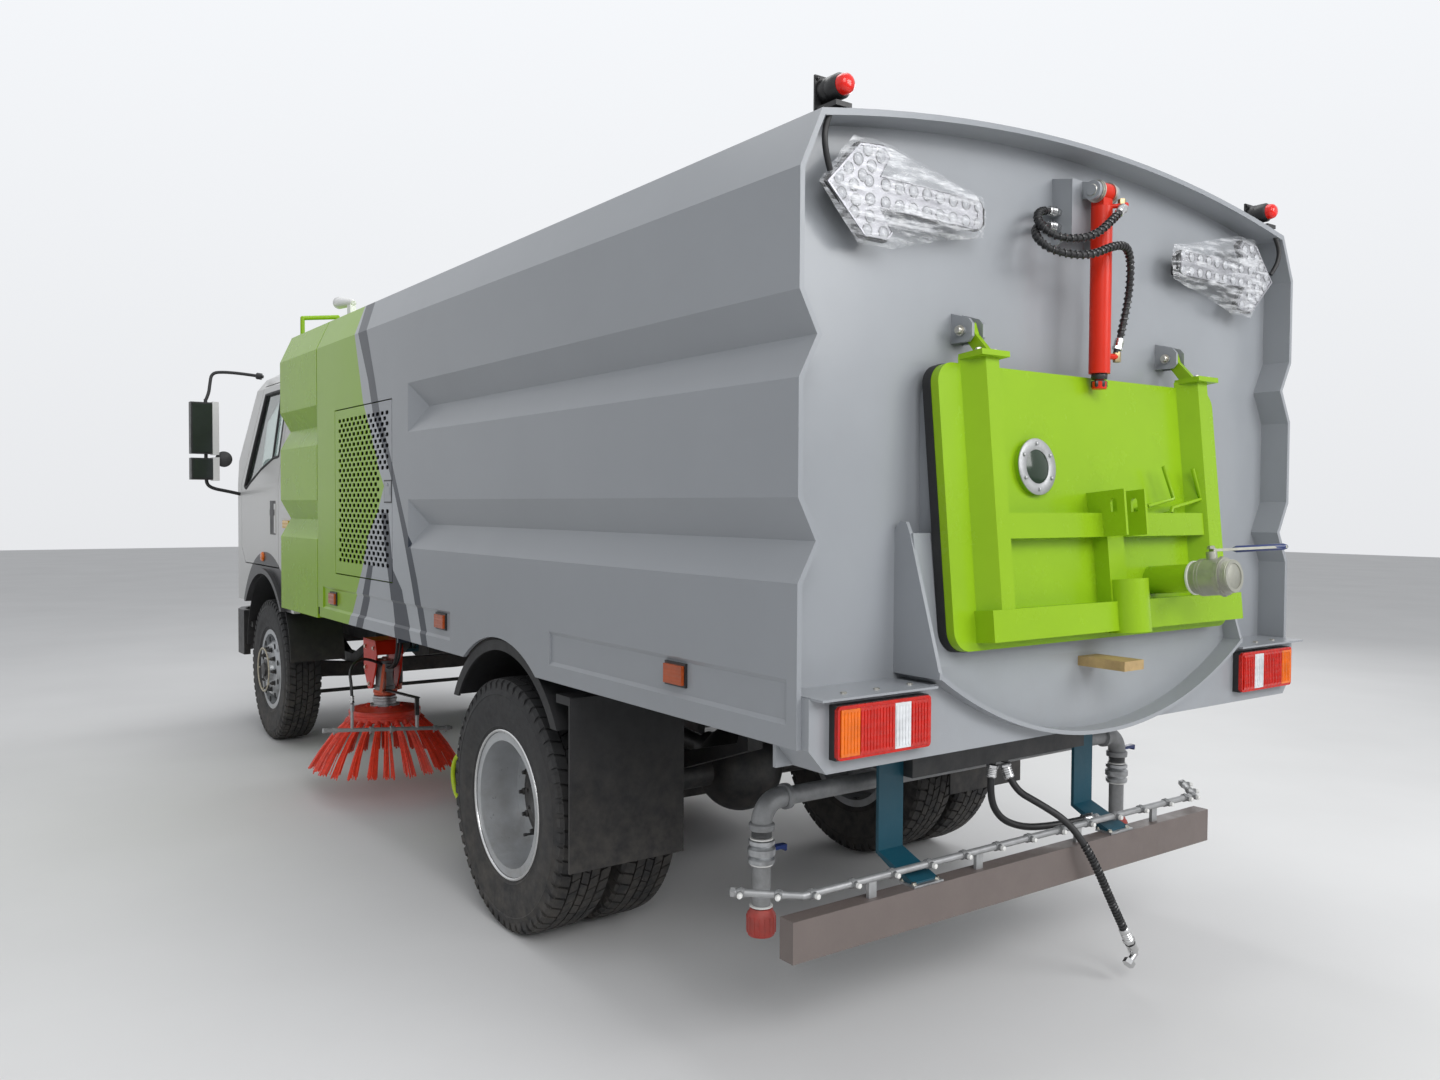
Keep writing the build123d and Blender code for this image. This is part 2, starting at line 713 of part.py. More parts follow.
def make_rear_door():
    face = door_face_x
    pan = rounded_slab(door_half, door_bottom, door_top, door_corner, face, face + door_thick)
    pan = pan - rounded_slab(door_half - 45, door_bottom + 45, door_top - 45, door_corner - 30,
                             face + 12, face + door_thick + 5)
    pieces = [pan]
    rib = slab([(face + 5, rib_y0 - 14), (face - rib_out, rib_y0 + 16), (face - rib_out, rib_y1 - 34),
                (face + 5, rib_y1 + 4)], "z", lower_rail[1] - 2, door_top + 18)
    pieces += both(rib)
    pieces.append(block(face - rail_out, face + 5, -rib_y0 - 5, rib_y0 + 5, upper_rail[0], upper_rail[1]))
    pieces.append(block(face - rib_out - 4, face + 5, 22 - door_half, rib_y1 + 8, lower_rail[0], lower_rail[1]))
    pieces.append(block(face - rail_out, face + 5, -40, 40, lower_rail[1] - 5, upper_rail[0] + 5))
    half_round = bar((face - rail_out - 8, -30, door_bottom + 14), (face - rail_out - 8, -30, 1415), 62)
    half_round = half_round - block(face, face + 200, -300, 300, door_bottom - 20, upper_rail[1])
    pieces.append(half_round)
    for y in (lug_y, -lug_y - 10):
        lug = slab([(face + 5, upper_rail[0]), (face - lug_out, upper_rail[0]), (face - lug_out, lug_top),
                    (face + 5, lug_top)], "y", y, y + 10)
        slot = joined([
            block(face - lug_out + 26, face - lug_out + 48, y - 5, y + 15, upper_rail[1], lug_top - 35),
            bar((face - lug_out + 37, y - 5, lug_top - 35), (face - lug_out + 37, y + 15, lug_top - 35), 11),
        ])
        pieces.append(lug - slot)
    port = bar((face - 16, 300, 1755), (face + 6, 300, 1755), 80)
    pieces.append(port)
    stub = bar((face - stub_reach, stub_y, stub_z), (face + 5, stub_y, stub_z), 44)
    pieces.append(stub)
    shelf = block(face - 82, face + 5, rib_y0 - 8, rib_y1 + 2, door_top + 10, door_top + 26)
    pieces += both(shelf)
    upright = joined(pieces)
    upright = upright - bar((face - 30, 300, 1755), (face + 60, 300, 1755), 48)
    leaned = tilted(upright)
    arms = []
    for side in (-1, 1):
        y0 = side * door_hinge_y - 9
        arm = slab([(door_face_x - 60, door_top + 14), (door_face_x - 6, door_top + 14),
                    (door_pin_x + 24, door_pin_z),
                    (door_pin_x + 14, door_pin_z + 24), (door_pin_x - 16, door_pin_z + 24),
                    (door_pin_x - 28, door_pin_z - 10)], "y", y0, y0 + 18)
        hole = bar((door_pin_x, y0 - 5, door_pin_z), (door_pin_x, y0 + 25, door_pin_z), 13)
        arms.append(arm - hole)
    return joined([leaned] + arms)


def make_drain_valve():
    """Ball valve on the door's stub, with its lever."""
    face = door_face_x
    rear = face - stub_reach
    body = joined([
        bar((rear - 30, stub_y, stub_z), (rear, stub_y, stub_z), 50),
        bar((rear - 95, stub_y, stub_z), (rear - 28, stub_y, stub_z), 56),
        bar((rear - 130, stub_y, stub_z), (rear - 92, stub_y, stub_z), 49),
        bar((rear - 62, stub_y, stub_z + 47), (rear - 62, stub_y, stub_z + 77), 16),
    ])
    body = body - bar((rear - 135, stub_y, stub_z), (rear - 70, stub_y, stub_z), 38)
    lever = slab([(0, -14), (60, -14), (240, -9), (240, 9), (60, 14), (0, 14)], "z", stub_z + 77, stub_z + 85)
    lever = Pos(rear - 62, stub_y, 0) * lever.rotate(Axis.Z, 240)
    return tilted(joined([body, lever]))


top_port = top_hose_points[-1]
top_end = Vector(*top_port)
top_way = (top_end - Vector(*top_hose_points[-2])).normalized()
bottom_port = bottom_hose_points[-1]


def make_door_cylinder():
    top = cylinder_pin_z
    low = top - cylinder_length
    x = cylinder_pin_x
    body = joined([
        bar((x, 0, top - 44), (x, 0, low), cylinder_radius),
        bar((x, 0, low - 25), (x, 0, low), 14),
        bar((x, 0, low - 47), (x, 0, low - 25), 22),
        bar((x, -23, top), (x, 23, top), 30),
        block(x - 22, x + 22, -22, 22, top - 50, top),
        bar(tuple(top_end + top_way * 0.3), tuple(top_end + top_way * 22), 8),
        bar((x - 5, 0, top_port[2] + 6), tuple(top_end + top_way * 14), 7),
        bar((x - 5, 0, bottom_port[2] - 12), (bottom_port[0], bottom_port[1], bottom_port[2] - 12), 9),
    ])
    return body - bar((x, -60, top), (x, 60, top), 17)


def make_tail_lamps():
    lamp = block(sill_x - lamp_depth, sill_x, lamp_y - lamp_half, lamp_y + lamp_half, lamp_bottom, lamp_top)
    return joined_solids(both(lamp))


# Arrow lamp outline on the left: y and z, tip outward
arrow_points = [
    (1076, 2462), (960, 2582), (870, 2590), (848, 2568), (884, 2508), (500, 2505), (476, 2484), (476, 2440),
    (500, 2420), (884, 2422), (838, 2358), (857, 2338), (941, 2338),
]


def make_arrow_lamps():
    plate = slab(arrow_points, "x", -1792, -1766)
    stem = block(-1768, panel_x, 560, 600, 2440, 2480)
    stem2 = block(-1768, panel_x, 860, 900, 2440, 2480)
    return joined_solids(both(joined([plate, stem, stem2])))


def make_beacons():
    y = 1025
    base_z = 2664
    lamp_z = base_z + 45
    foot = block(-1805, -1722, y - 20, y + 30, base_z - 40, base_z)
    plate = block(-1728, -1722, y - 36, y + 36, base_z - 40, base_z + 84)
    body = bar((-1795, y, lamp_z), (-1724, y, lamp_z), 33)
    dome = bar((-1822, y, lamp_z), (-1793, y, lamp_z), 26)
    roof = body_solid(rim_x, panel_x + 20, 0, shell_bottom)
    return joined_solids(both(joined([foot, plate, body, dome]) - roof))


def make_access_door():
    """Left access panel in the side wall."""
    x0, x1, z0, z1 = access_door
    g = access_gap
    plate = block(x0 + g, x1 - g, half_width - shell_wall, half_width, z0 + g, z1 - g)
    return plate


def make_tank():
    outer = body_solid(seam_x, tank_front_x, 0, shell_bottom - 11)
    outer = grooved(outer, seam_x - 10, tank_front_x + 10, 1, False)
    inner = body_solid(seam_x + shell_wall, tank_front_x - shell_wall, shell_wall, shell_bottom + shell_wall)
    inner = grooved(inner, seam_x, tank_front_x, groove_grow, False)
    foot = block(seam_x + 40, tank_front_x - 40, beam_y0, beam_y1, rail_top, shell_bottom)
    rail_x = tank_front_x - 55
    outer_top = (rail_x, 1058, corner_z + 117)
    inner_top = (rail_x, 850, corner_z + 144)
    rail_radius = 13
    handrail = joined([
        bar(outer_top, inner_top, rail_radius),
        bar((rail_x, 1058, corner_z), outer_top, rail_radius),
        bar((rail_x, 850, corner_z + 25), inner_top, rail_radius),
        Pos(*outer_top) * Sphere(rail_radius),
        Pos(*inner_top) * Sphere(rail_radius),
    ])
    return joined([outer - inner, handrail] + both(foot))


# Rear end: under-run beam on its hangers, pipes, mudguards

beam_rear_x = -1610
beam_depth = 58.5
beam_half = 1016
beam_low = 381
beam_high = 499
hanger_x = -1440
hanger_y = 535


def make_under_run():
    beam = block(beam_rear_x, beam_rear_x + beam_depth, -beam_half, beam_half, beam_low, beam_high)
    hanger = slab([(hanger_x, 960), (hanger_x, 570), (-1590, beam_high + 12), (-1590, beam_high - 1),
                   (-1553, beam_high - 1), (hanger_x + 12, 562), (hanger_x + 12, 960)],
                  "y", rail_outer_y, hanger_y)
    return joined([beam] + both(hanger))


drain_x = -1300
drain_y = 886
drain_z = 750
drain_radius = 28


def make_rear_pipes():
    """Drain pipe with two drops and, apart from it, the spray bar over the beam."""
    across = bar((drain_x, -drain_y, drain_z), (drain_x, drain_y, drain_z), drain_radius)
    pieces = [across]
    for side in (-1, 1):
        y = side * drain_y
        pieces.append(Pos(drain_x, y, drain_z) * Sphere(drain_radius + 6))
        pieces.append(bar((drain_x, y, 420), (drain_x, y, drain_z), drain_radius))
        pieces.append(bar((drain_x, y, 590), (drain_x, y, 690), drain_radius + 9))
        pieces.append(bar((drain_x, y, 340), (drain_x, y, 425), drain_radius + 14))
    bracket = block(drain_x - 20, drain_x + 20, 10 - rail_outer_y, 60 - rail_outer_y,
                    drain_z + 10, rail_bottom)
    pieces += both(bracket)
    return joined(pieces)


spray_x = -1584
spray_z = 555
spray_radius = 11


def make_spray_bar():
    y = 960
    pieces = [bar((spray_x, -y, spray_z), (spray_x, y, spray_z), spray_radius)]
    for side in (-1, 1):
        pieces.append(bar((spray_x, side * y, spray_z), (-1450, side * 1100, spray_z), spray_radius))
        pieces.append(Pos(spray_x, side * y, spray_z) * Sphere(spray_radius))
    inlet = loop_hose_points[-1]
    pieces.append(bar((spray_x, inlet[1] - 12, spray_z), (inlet[0], inlet[1] - 12, inlet[2]), 8))
    pieces.append(bar((inlet[0], inlet[1] - 24, inlet[2]), (inlet[0], inlet[1] - 3, inlet[2]), 11))
    for foot_y in (-700, -260, 240, 700):
        pieces.append(block(spray_x - 6, spray_x + 6, foot_y - 15, foot_y + 15, beam_high, spray_z))
    return joined(pieces)


flap_x = -600
flap_y0 = 700
flap_y1 = 1165


def make_mudguards():
    outer = arch_radius - 10
    strip = bar((arch_x, 625, arch_z), (arch_x, 1160, arch_z), outer)
    strip = strip - bar((arch_x, 600, arch_z), (arch_x, 1170, arch_z), outer - 8)
    lip = bar((arch_x, 1150, arch_z), (arch_x, 1160, arch_z), outer)
    lip = lip - bar((arch_x, 1140, arch_z), (arch_x, 1170, arch_z), outer - 40)
    guard = joined([strip, lip])
    guard = guard - block(arch_x - outer - 60, arch_x + outer + 60, 500, cut_half, 0, arch_z + 250)
    flap = block(flap_x, flap_x + 10, flap_y0, flap_y1, 385, 985)
    hang = block(flap_x, -480, flap_y0, 1155, 955, 985)
    stay = bar((-520, rail_outer_y, 965), (-520, 720, 965), 16)
    return joined_solids(both(joined([guard, flap, hang, stay])))


fuel_rear_x = wheelbase - 1210
fuel_front_x = wheelbase - 600


def make_fuel_tank():
    pieces = [block(fuel_rear_x, fuel_front_x, -rail_outer_y - 550, -rail_outer_y - 40, 480, 900)]
    for x in (fuel_rear_x + 90, fuel_front_x - 140):
        pieces.append(block(x, x + 40, -rail_outer_y - 41, -rail_outer_y, 820, 890))
    return joined(pieces)


nozzle_x0 = 700
nozzle_x1 = 1150
nozzle_half = 690
suction_x = 965
suction_y = 232


def make_nozzle():
    """Suction nozzle: an open-bottomed box, its pipe up to the bin and its small wheels."""
    box_shell = block(nozzle_x0, nozzle_x1, -nozzle_half, nozzle_half, 170, 400)
    box_shell = box_shell - block(nozzle_x0 + 10, nozzle_x1 - 10, -nozzle_half + 10, nozzle_half - 10, 100, 390)
    riser = pipe((suction_x, suction_y, 380), (suction_x, suction_y, 985), 105, 97)
    box_shell = box_shell - bar((suction_x, suction_y, 350), (suction_x, suction_y, 450), 97)
    pieces = [box_shell, riser]
    for side in (-1, 1):
        y = side * (nozzle_half + 50)
        pieces.append(bar((nozzle_x1 + 100, y - 28, 285), (nozzle_x1 + 100, y + 28, 285), 130))
        arm_y = side * (nozzle_half - 6)
        pieces.append(block(nozzle_x1 - 10, nozzle_x1 + 110, arm_y - 6, arm_y + 6, 270, 380))
        pieces.append(bar((nozzle_x1 + 100, side * (nozzle_half - 8), 285), (nozzle_x1 + 100, y, 285), 20))
    for y in (-395, 395):
        pieces.append(block(suction_x - 100, suction_x + 100, y - 20, y + 20, 395, rail_bottom))
    return joined(pieces)


# Hoists

hoist_reach = hypot(hoist_base_x - hoist_eye_x, hoist_eye_z - hoist_base_z)
hoist_lean = degrees(atan2(hoist_eye_z - hoist_base_z, hoist_base_x - hoist_eye_x))
hoist_barrel_length = hoist_reach - 170


def aimed(shape):
    """Turn a hoist piece, drawn rearward from the origin, to its place."""
    return Pos(hoist_base_x, 0, hoist_base_z) * shape.rotate(Axis.Y, hoist_lean)


def make_hoist_barrels():
    pieces = []
    for side in (-1, 1):
        y = side * hoist_y
        body = joined([
            bar((-40, y, 0), (-hoist_barrel_length, y, 0), hoist_radius),
            bar((0, y - 34, 0), (0, y + 34, 0), 34),
            block(-60, 0, y - 30, y + 30, -28, 28),
        ])
        body = body - bar((0, y - 60, 0), (0, y + 60, 0), 16)
        body = body - bar((-120, y, 0), (-hoist_barrel_length - 10, y, 0), hoist_rod_radius + 1)
        pieces.append(body)
    return aimed(joined_solids(pieces))


def make_hoist_rods():
    pieces = []
    for side in (-1, 1):
        y = side * hoist_y
        body = joined([
            bar((-hoist_reach, y, 0), (-130, y, 0), hoist_rod_radius),
            bar((-hoist_reach, y - 32, 0), (-hoist_reach, y + 32, 0), 32),
        ])
        pieces.append(body)
    return aimed(joined_solids(pieces))


# Side brushes, drawn on the left

post_radius = 30


def make_brush_arm():
    pivot = joined([
        bar((brush_pivot_x, brush_pivot_y, 752), (brush_pivot_x, brush_pivot_y, 838), 42),
    ])
    reach = [(brush_pivot_x + 25, brush_pivot_y + 20), (brush_pivot_x - 5, brush_pivot_y - 34),
             (brush_post_x - 30, brush_post_y - 40), (brush_post_x + 10, brush_post_y + 35)]
    beam = slab(reach, "z", 765, 825)
    sleeve = bar((brush_post_x, brush_post_y, 602), (brush_post_x, brush_post_y, 860), 46)
    whole = joined([pivot, beam, sleeve])
    whole = whole - bar((brush_post_x, brush_post_y, 550), (brush_post_x, brush_post_y, 900), post_radius + 1)
    return whole - bar((brush_pivot_x, brush_pivot_y, 700), (brush_pivot_x, brush_pivot_y, 900), 19)


def make_brush_pivots():
    """Brackets on the rails that carry the brush arms."""
    y = brush_pivot_y
    parts = [
        block(brush_pivot_x - 45, brush_pivot_x + 45, rail_outer_y, y + 45, 840, 860),
        block(brush_pivot_x - 45, brush_pivot_x + 45, rail_outer_y, y + 45, 730, 750),
        block(brush_pivot_x - 45, brush_pivot_x + 45, rail_outer_y, rail_outer_y + 14, 730, 860),
        bar((brush_pivot_x, y, 740), (brush_pivot_x, y, 850), 18),
    ]
    return joined_solids(both(joined(parts)))


def make_brush_head():
    post = bar((brush_post_x, brush_post_y, 566), (brush_post_x, brush_post_y, 1000), post_radius)
    boss_ring = bar((brush_post_x, brush_post_y, 563), (brush_post_x, brush_post_y, 596), 42)
    plate = slab([(brush_post_x - 20, brush_post_y + 38), (brush_post_x - 40, brush_post_y - 5),
                  (brush_x - 30, brush_y - 60), (brush_x - 60, brush_y + 30), (brush_x + 20, brush_y + 60)],
                 "z", 572, 592)
    motor = bar((brush_x, brush_y, 590), (brush_x, brush_y, 760), 48)
    boss = bar((brush_x, brush_y, 564), (brush_x, brush_y, 576), 60)
    web = slab([(0, 590), (120, 590), (60, 740), (0, 700)], "y", -8, 8)
    web = Pos(brush_x - 10, brush_y - 10, 0) * web.rotate(Axis.Z, 144)
    return joined([post, boss_ring, plate, motor, boss, web])


def make_brush():
    plate_top = brush_plate_z + 70
    plate = turned([(0, brush_plate_z), (0, 560), (40, 560), (60, plate_top), (brush_plate_radius - 20, plate_top),
                    (brush_plate_radius, plate_top - 20), (brush_plate_radius, brush_plate_z)],
                   brush_x, brush_y)
    root_z = brush_plate_z + 5
    bristles = turned([(brush_plate_radius - 60, root_z), (brush_plate_radius - 5, root_z),
                       (bristle_radius, bristle_tip_z + 25), (bristle_radius - 30, bristle_tip_z),
                       (bristle_radius - 110, bristle_tip_z + 10)], brush_x, brush_y)
    return joined([plate, bristles])


# Cab

def by_front_axle(points):
    """Outline points given as (ahead of the front axle, z)."""
    return [(wheelbase + ahead, z) for ahead, z in points]


def cab_body(inset, bottom):
    """Cab volume drawn in by inset: side view, plan view and front view crossed."""
    f = cab_front_x - inset
    r = cab_rear_x + inset
    roof = cab_roof - inset
    pillar_x = wheelbase + 560 - inset * 0.6
    side_view = [(f - 20, bottom), (f, 1100), (f - 8, 1640), (f - 60, 1720), (pillar_x, roof - 70),
                 (pillar_x - 120, roof - 20), (wheelbase + 100, roof), (r + 30, roof - 20), (r, roof - 60),
                 (r, bottom)]
    profile = slab(side_view, "y", -cab_half, cab_half)
    half = cab_half - inset
    nose = [(f - 260, half), (f - 120, half - 50), (f - 30, half - 150), (f + 5, half - 330)]
    plan = [(r, -half), (r, half)] + nose + [(x, -y) for x, y in reversed(nose)]
    column = slab(plan, "z", bottom, roof + 10)
    front_view = [(-half, bottom), (-half, 1780), (-half + 95, roof - 150), (-half + 150, roof - 70),
                  (-half + 240, roof - 15), (0, roof + 6), (half - 240, roof - 15), (half - 150, roof - 70),
                  (half - 95, roof - 150), (half, 1780), (half, bottom)]
    tunnel_view = slab(front_view, "x", r - 5, f + 10)
    return profile & column & tunnel_view


door_sill = cab_floor + 34
door_outline = by_front_axle([(-340, door_sill), (-340, cab_roof - 130), (400, cab_roof - 130), (705, 1780),
                              (705, 1320), (590, door_sill)])
door_inset = by_front_axle([(-332, door_sill + 8), (-332, cab_roof - 138), (394, cab_roof - 138), (697, 1778),
                            (697, 1323), (586, door_sill + 8)])
window_outline = by_front_axle([(-270, 1955), (-270, cab_roof - 195), (330, cab_roof - 195), (610, 1760),
                                (560, 1745), (160, 1880), (-140, 1950)])


def cab_walls():
    outer = cab_body(0, cab_bottom)
    inner = cab_body(cab_wall, cab_floor + cab_wall)
    tunnel_outline = [(-800, 800), (-800, 1400), (500, 1400), (600, 1340), (600, 800)]
    tunnel = slab(by_front_axle(tunnel_outline), "y", -400, 400)
    cover_outline = [(-700, cab_floor), (-700, 1440), (515, 1440), (640, 1365), (640, cab_floor)]
    tunnel_cover = slab(by_front_axle(cover_outline), "y", -440, 440)
    under = block(cab_rear_x - 10, cab_front_x - cab_wall - 30, -cab_half + cab_wall, cab_half - cab_wall,
                  800, cab_floor)
    shell = outer - inner
    shell = shell - under
    shell = joined([shell, tunnel_cover & outer]) - tunnel
    arch = bar((wheelbase, -cut_half, front_arch_z), (wheelbase, cut_half, front_arch_z), front_arch_radius)
    return shell - arch


def make_cab():
    walls = cab_walls()
    left_opening = slab(door_outline, "y", cab_half - 260, cab_half + 50)
    windscreen = slab([(-800, 1745), (-800, cab_roof - 370), (-720, cab_roof - 180), (720, cab_roof - 180),
                       (800, cab_roof - 370), (800, 1745)],
                      "x", wheelbase + 450, cab_front_x + 130)
    rear_window = block(cab_rear_x - 20, cab_rear_x + 60, -560, 560, 1900, cab_roof - 280)
    shell = walls
    for one in both(left_opening):
        shell = shell - one
    shell = shell - windscreen - rear_window
    pin_ear = slab([(tilt_pin_x - 30, tilt_pin_z - 30), (tilt_pin_x + 30, tilt_pin_z - 30),
                    (tilt_pin_x + 30, 1000), (tilt_pin_x - 30, 1000)], "y", 500, 520)
    hole = bar((tilt_pin_x, 450, tilt_pin_z), (tilt_pin_x, 560, tilt_pin_z), 19)
    cross = block(tilt_pin_x - 40, cab_front_x - 30, -520, 520, 935, 975)
    flare = bar((wheelbase, 940, front_arch_z), (wheelbase, 1010, front_arch_z), front_arch_radius + 30)
    flare = flare - bar((wheelbase, 930, front_arch_z), (wheelbase, 1020, front_arch_z), front_arch_radius - 5)
    flare_reach = front_arch_radius + 60
    flare_top = front_arch_z + flare_reach
    flare = flare - block(wheelbase - flare_reach, wheelbase + flare_reach, 900, 1100, -300, cab_bottom)
    flare = flare - block(wheelbase - flare_reach, wheelbase + flare_reach, 900, cab_half - 20, 0, flare_top)
    return joined([shell, cross] + both(pin_ear - hole) + both(flare))


def make_cab_door():
    walls = cab_body(0, cab_bottom) - cab_body(cab_wall, cab_floor - 200)
    leaf = walls & slab(door_inset, "y", cab_half - 260, cab_half + 50)
    leaf = leaf - slab(window_outline, "y", cab_half - 300, cab_half + 60)
    handle = block(wheelbase - 275, wheelbase - 235, cab_half - 12, cab_half + 4, 1440, 1640)
    return joined([leaf, handle])


def make_mirrors():
    arm = joined([
        bar((wheelbase + 705, 905, 2330), (wheelbase + 705, 1230, 2390), 13),
        bar((wheelbase + 705, 1230, 2390), (wheelbase + 705, 1230, 1700), 13),
        bar((wheelbase + 705, 1230, 1700), (wheelbase + 745, 930, 1640), 13),
        Pos(wheelbase + 705, 1230, 2390) * Sphere(13),
        Pos(wheelbase + 705, 1230, 1700) * Sphere(13),
    ])
    glass = block(wheelbase + 660, wheelbase + 735, 1150, 1330, 1985, 2360)
    wide = block(wheelbase + 650, wheelbase + 735, 1150, 1330, 1800, 1960)
    mirror_set = joined([arm, glass, wide]) - make_cab()
    return joined_solids(both(mirror_set))


seat_back_outline = [(-560, 1500), (-420, 1520), (-500, 2050), (-630, 2050)]
seat_head_outline = [(-600, 2080), (-520, 2080), (-535, 2230), (-610, 2230)]


def make_seats():
    pieces = []
    for y in (-520, 520):
        side = 1 if y > 0 else -1
        near, far = sorted((side * 450, side * 700))
        cushion = block(wheelbase - 480, wheelbase + 20, y - 240, y + 240, 1445, 1560)
        base = block(wheelbase - 440, wheelbase - 20, near, far, cab_floor + cab_wall + 1, 1450)
        back = slab(by_front_axle(seat_back_outline), "y", y - 235, y + 235)
        head = slab(by_front_axle(seat_head_outline), "y", y - 130, y + 130)
        stalk = block(wheelbase - 580, wheelbase - 550, y - 60, y + 60, 2040, 2090)
        pieces.append(joined([cushion, base, back, head, stalk]))
    return joined_solids(pieces)


def make_dashboard():
    top_outline = [(580, 1445), (520, 1500), (560, 1690), (900, 1700), (980, 1640), (980, 1445)]
    top = slab(by_front_axle(top_outline), "y", -860, 860)
    legs = block(wheelbase + 760, wheelbase + 800, -640, -600, cab_floor + cab_wall + 1, 1450) + block(
        wheelbase + 760, wheelbase + 800, 600, 640, cab_floor + cab_wall + 1, 1450)
    top = (top + legs) & cab_body(cab_wall + 0.5, cab_floor)
    column = bar((wheelbase + 580, 520, 1560), (wheelbase + 360, 520, 1700), 35)
    wheel_plane = Plane(origin=(wheelbase + 360, 520, 1700), z_dir=(-0.84, 0, 0.54))
    ring = wheel_plane * Torus(210, 16)
    hub_plate = extrude(wheel_plane * Circle(70), amount=14, both=True)
    spoke = wheel_plane * Box(400, 40, 12)
    return joined([top, column, ring, hub_plate, spoke])


bumper_bottom = 520
bumper_top = 850
bumper_outer = [(450, 985), (270, 985), (130, 930), (40, 820), (0, 600)]
bumper_inner = [(460, 940), (285, 940), (160, 890), (85, 790), (50, 580)]
headlamp_y = (640, 860)
headlamp_z = (630, 770)


def bumper_outline(half_points):
    """Both sides of an outline given as (distance behind the front, y)."""
    left = [(front_reach - back, y) for back, y in half_points]
    return left + [(x, -y) for x, y in reversed(left)]


def headlamp_window():
    return block(front_reach - 300, front_reach + 50, *headlamp_y, *headlamp_z)


def bumper_skin():
    outer = slab(bumper_outline(bumper_outer), "z", bumper_bottom, bumper_top)
    return outer - slab(bumper_outline(bumper_inner), "z", bumper_bottom - 20, bumper_top + 10)


def make_bumper():
    skin = bumper_skin()
    for window in both(headlamp_window()):
        skin = skin - window
    bracket = block(rail_front_x, front_reach - 40, 380, rail_outer_y, bumper_top - 60, bumper_top - 10)
    low = rail_bottom + 10
    pin_plate = joined([
        slab([(tilt_pin_x - 170, low), (tilt_pin_x - 30, tilt_pin_z - 35), (tilt_pin_x + 30, tilt_pin_z - 35),
              (tilt_pin_x + 30, tilt_pin_z + 35), (tilt_pin_x - 170, tilt_pin_z + 10)],
             "y", rail_outer_y, rail_outer_y + 20),
        bar((tilt_pin_x, rail_outer_y, tilt_pin_z), (tilt_pin_x, 535, tilt_pin_z), 18),
    ])
    return joined([skin] + both(bracket) + both(pin_plate))


def make_headlamps():
    lamp = bumper_skin() & headlamp_window()
    return joined_solids(both(lamp))


def main():
    os.makedirs("parts", exist_ok=True)
    save("chassis_frame", make_frame())
    save("front_axle", make_front_axle())
    save("rear_axle", make_rear_axle())
    save("drive_engine", make_engine())
    save("propeller_shaft", make_propeller_shaft())
    save("sweeper_engine", make_sweeper_engine())
    save("water_tank", make_tank())
    save("fuel_tank", make_fuel_tank())
    save("suction_nozzle", make_nozzle())
    save("rear_mudguards", make_mudguards())
    save("under_run_guard", make_under_run())
    save("drain_pipes", make_rear_pipes())
    save("rear_spray_bar", make_spray_bar())
    save("brush_pivots", make_brush_pivots())
    save("front_bumper", make_bumper())
    save("headlamps", make_headlamps())

    knuckle = make_knuckle()
    tyre_solid, rim_solid = make_front_wheel()
    rear_tyres, rear_rims = make_rear_wheels()
    sided = {
        "knuckle": knuckle, "front_tyre": tyre_solid, "front_rim": rim_solid,
        "rear_tyres": rear_tyres, "rear_rims": rear_rims,
        "brush_arm": make_brush_arm(), "brush_head": make_brush_head(), "side_brush": make_brush(),
        "access_door": make_access_door(), "cab_door": make_cab_door(),
    }
    for name, shape in sided.items():
        save(f"{name}_left", shape)
        save(f"{name}_right", other_side(shape))
    save("tie_rod", make_tie_rod())

    save("rear_hose", hose("rear_hose", rear_hose_points, rear_hose_radius))
    save("rear_hose_elbow", make_hose_elbow())
    save("loop_hose", hose("loop_hose", loop_hose_points, loop_hose_radius))
    save("cylinder_hose_top", hose("cylinder_hose_top", top_hose_points, cylinder_hose_radius))
    save("cylinder_hose_bottom", hose("cylinder_hose_bottom", bottom_hose_points, cylinder_hose_radius))

    save("hopper", make_hopper())
    save("rear_panel", make_rear_panel())
    save("tail_lamps", make_tail_lamps())
    save("arrow_lamps", make_arrow_lamps())
    save("beacons", make_beacons())
    save("rear_door", make_rear_door())
    save("drain_valve", make_drain_valve())
    save("door_cylinder", make_door_cylinder())
    save("hoist_barrels", make_hoist_barrels())
    save("hoist_rods", make_hoist_rods())

    save("cab", make_cab())
    save("cab_mirrors", make_mirrors())
    save("cab_seats", make_seats())
    save("dashboard", make_dashboard())


if __name__ == "__main__":
    main()
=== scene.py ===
"""Looks of the street sweeper truck: finishes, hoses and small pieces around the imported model.

Places are in metres from the rear axle: +X forward, +Y left, +Z up. shift() moves them into the shared frame.
"""
import json
import random
from math import cos, degrees, pi, radians, sin

import bmesh
import bpy
from mathutils import Matrix, Vector

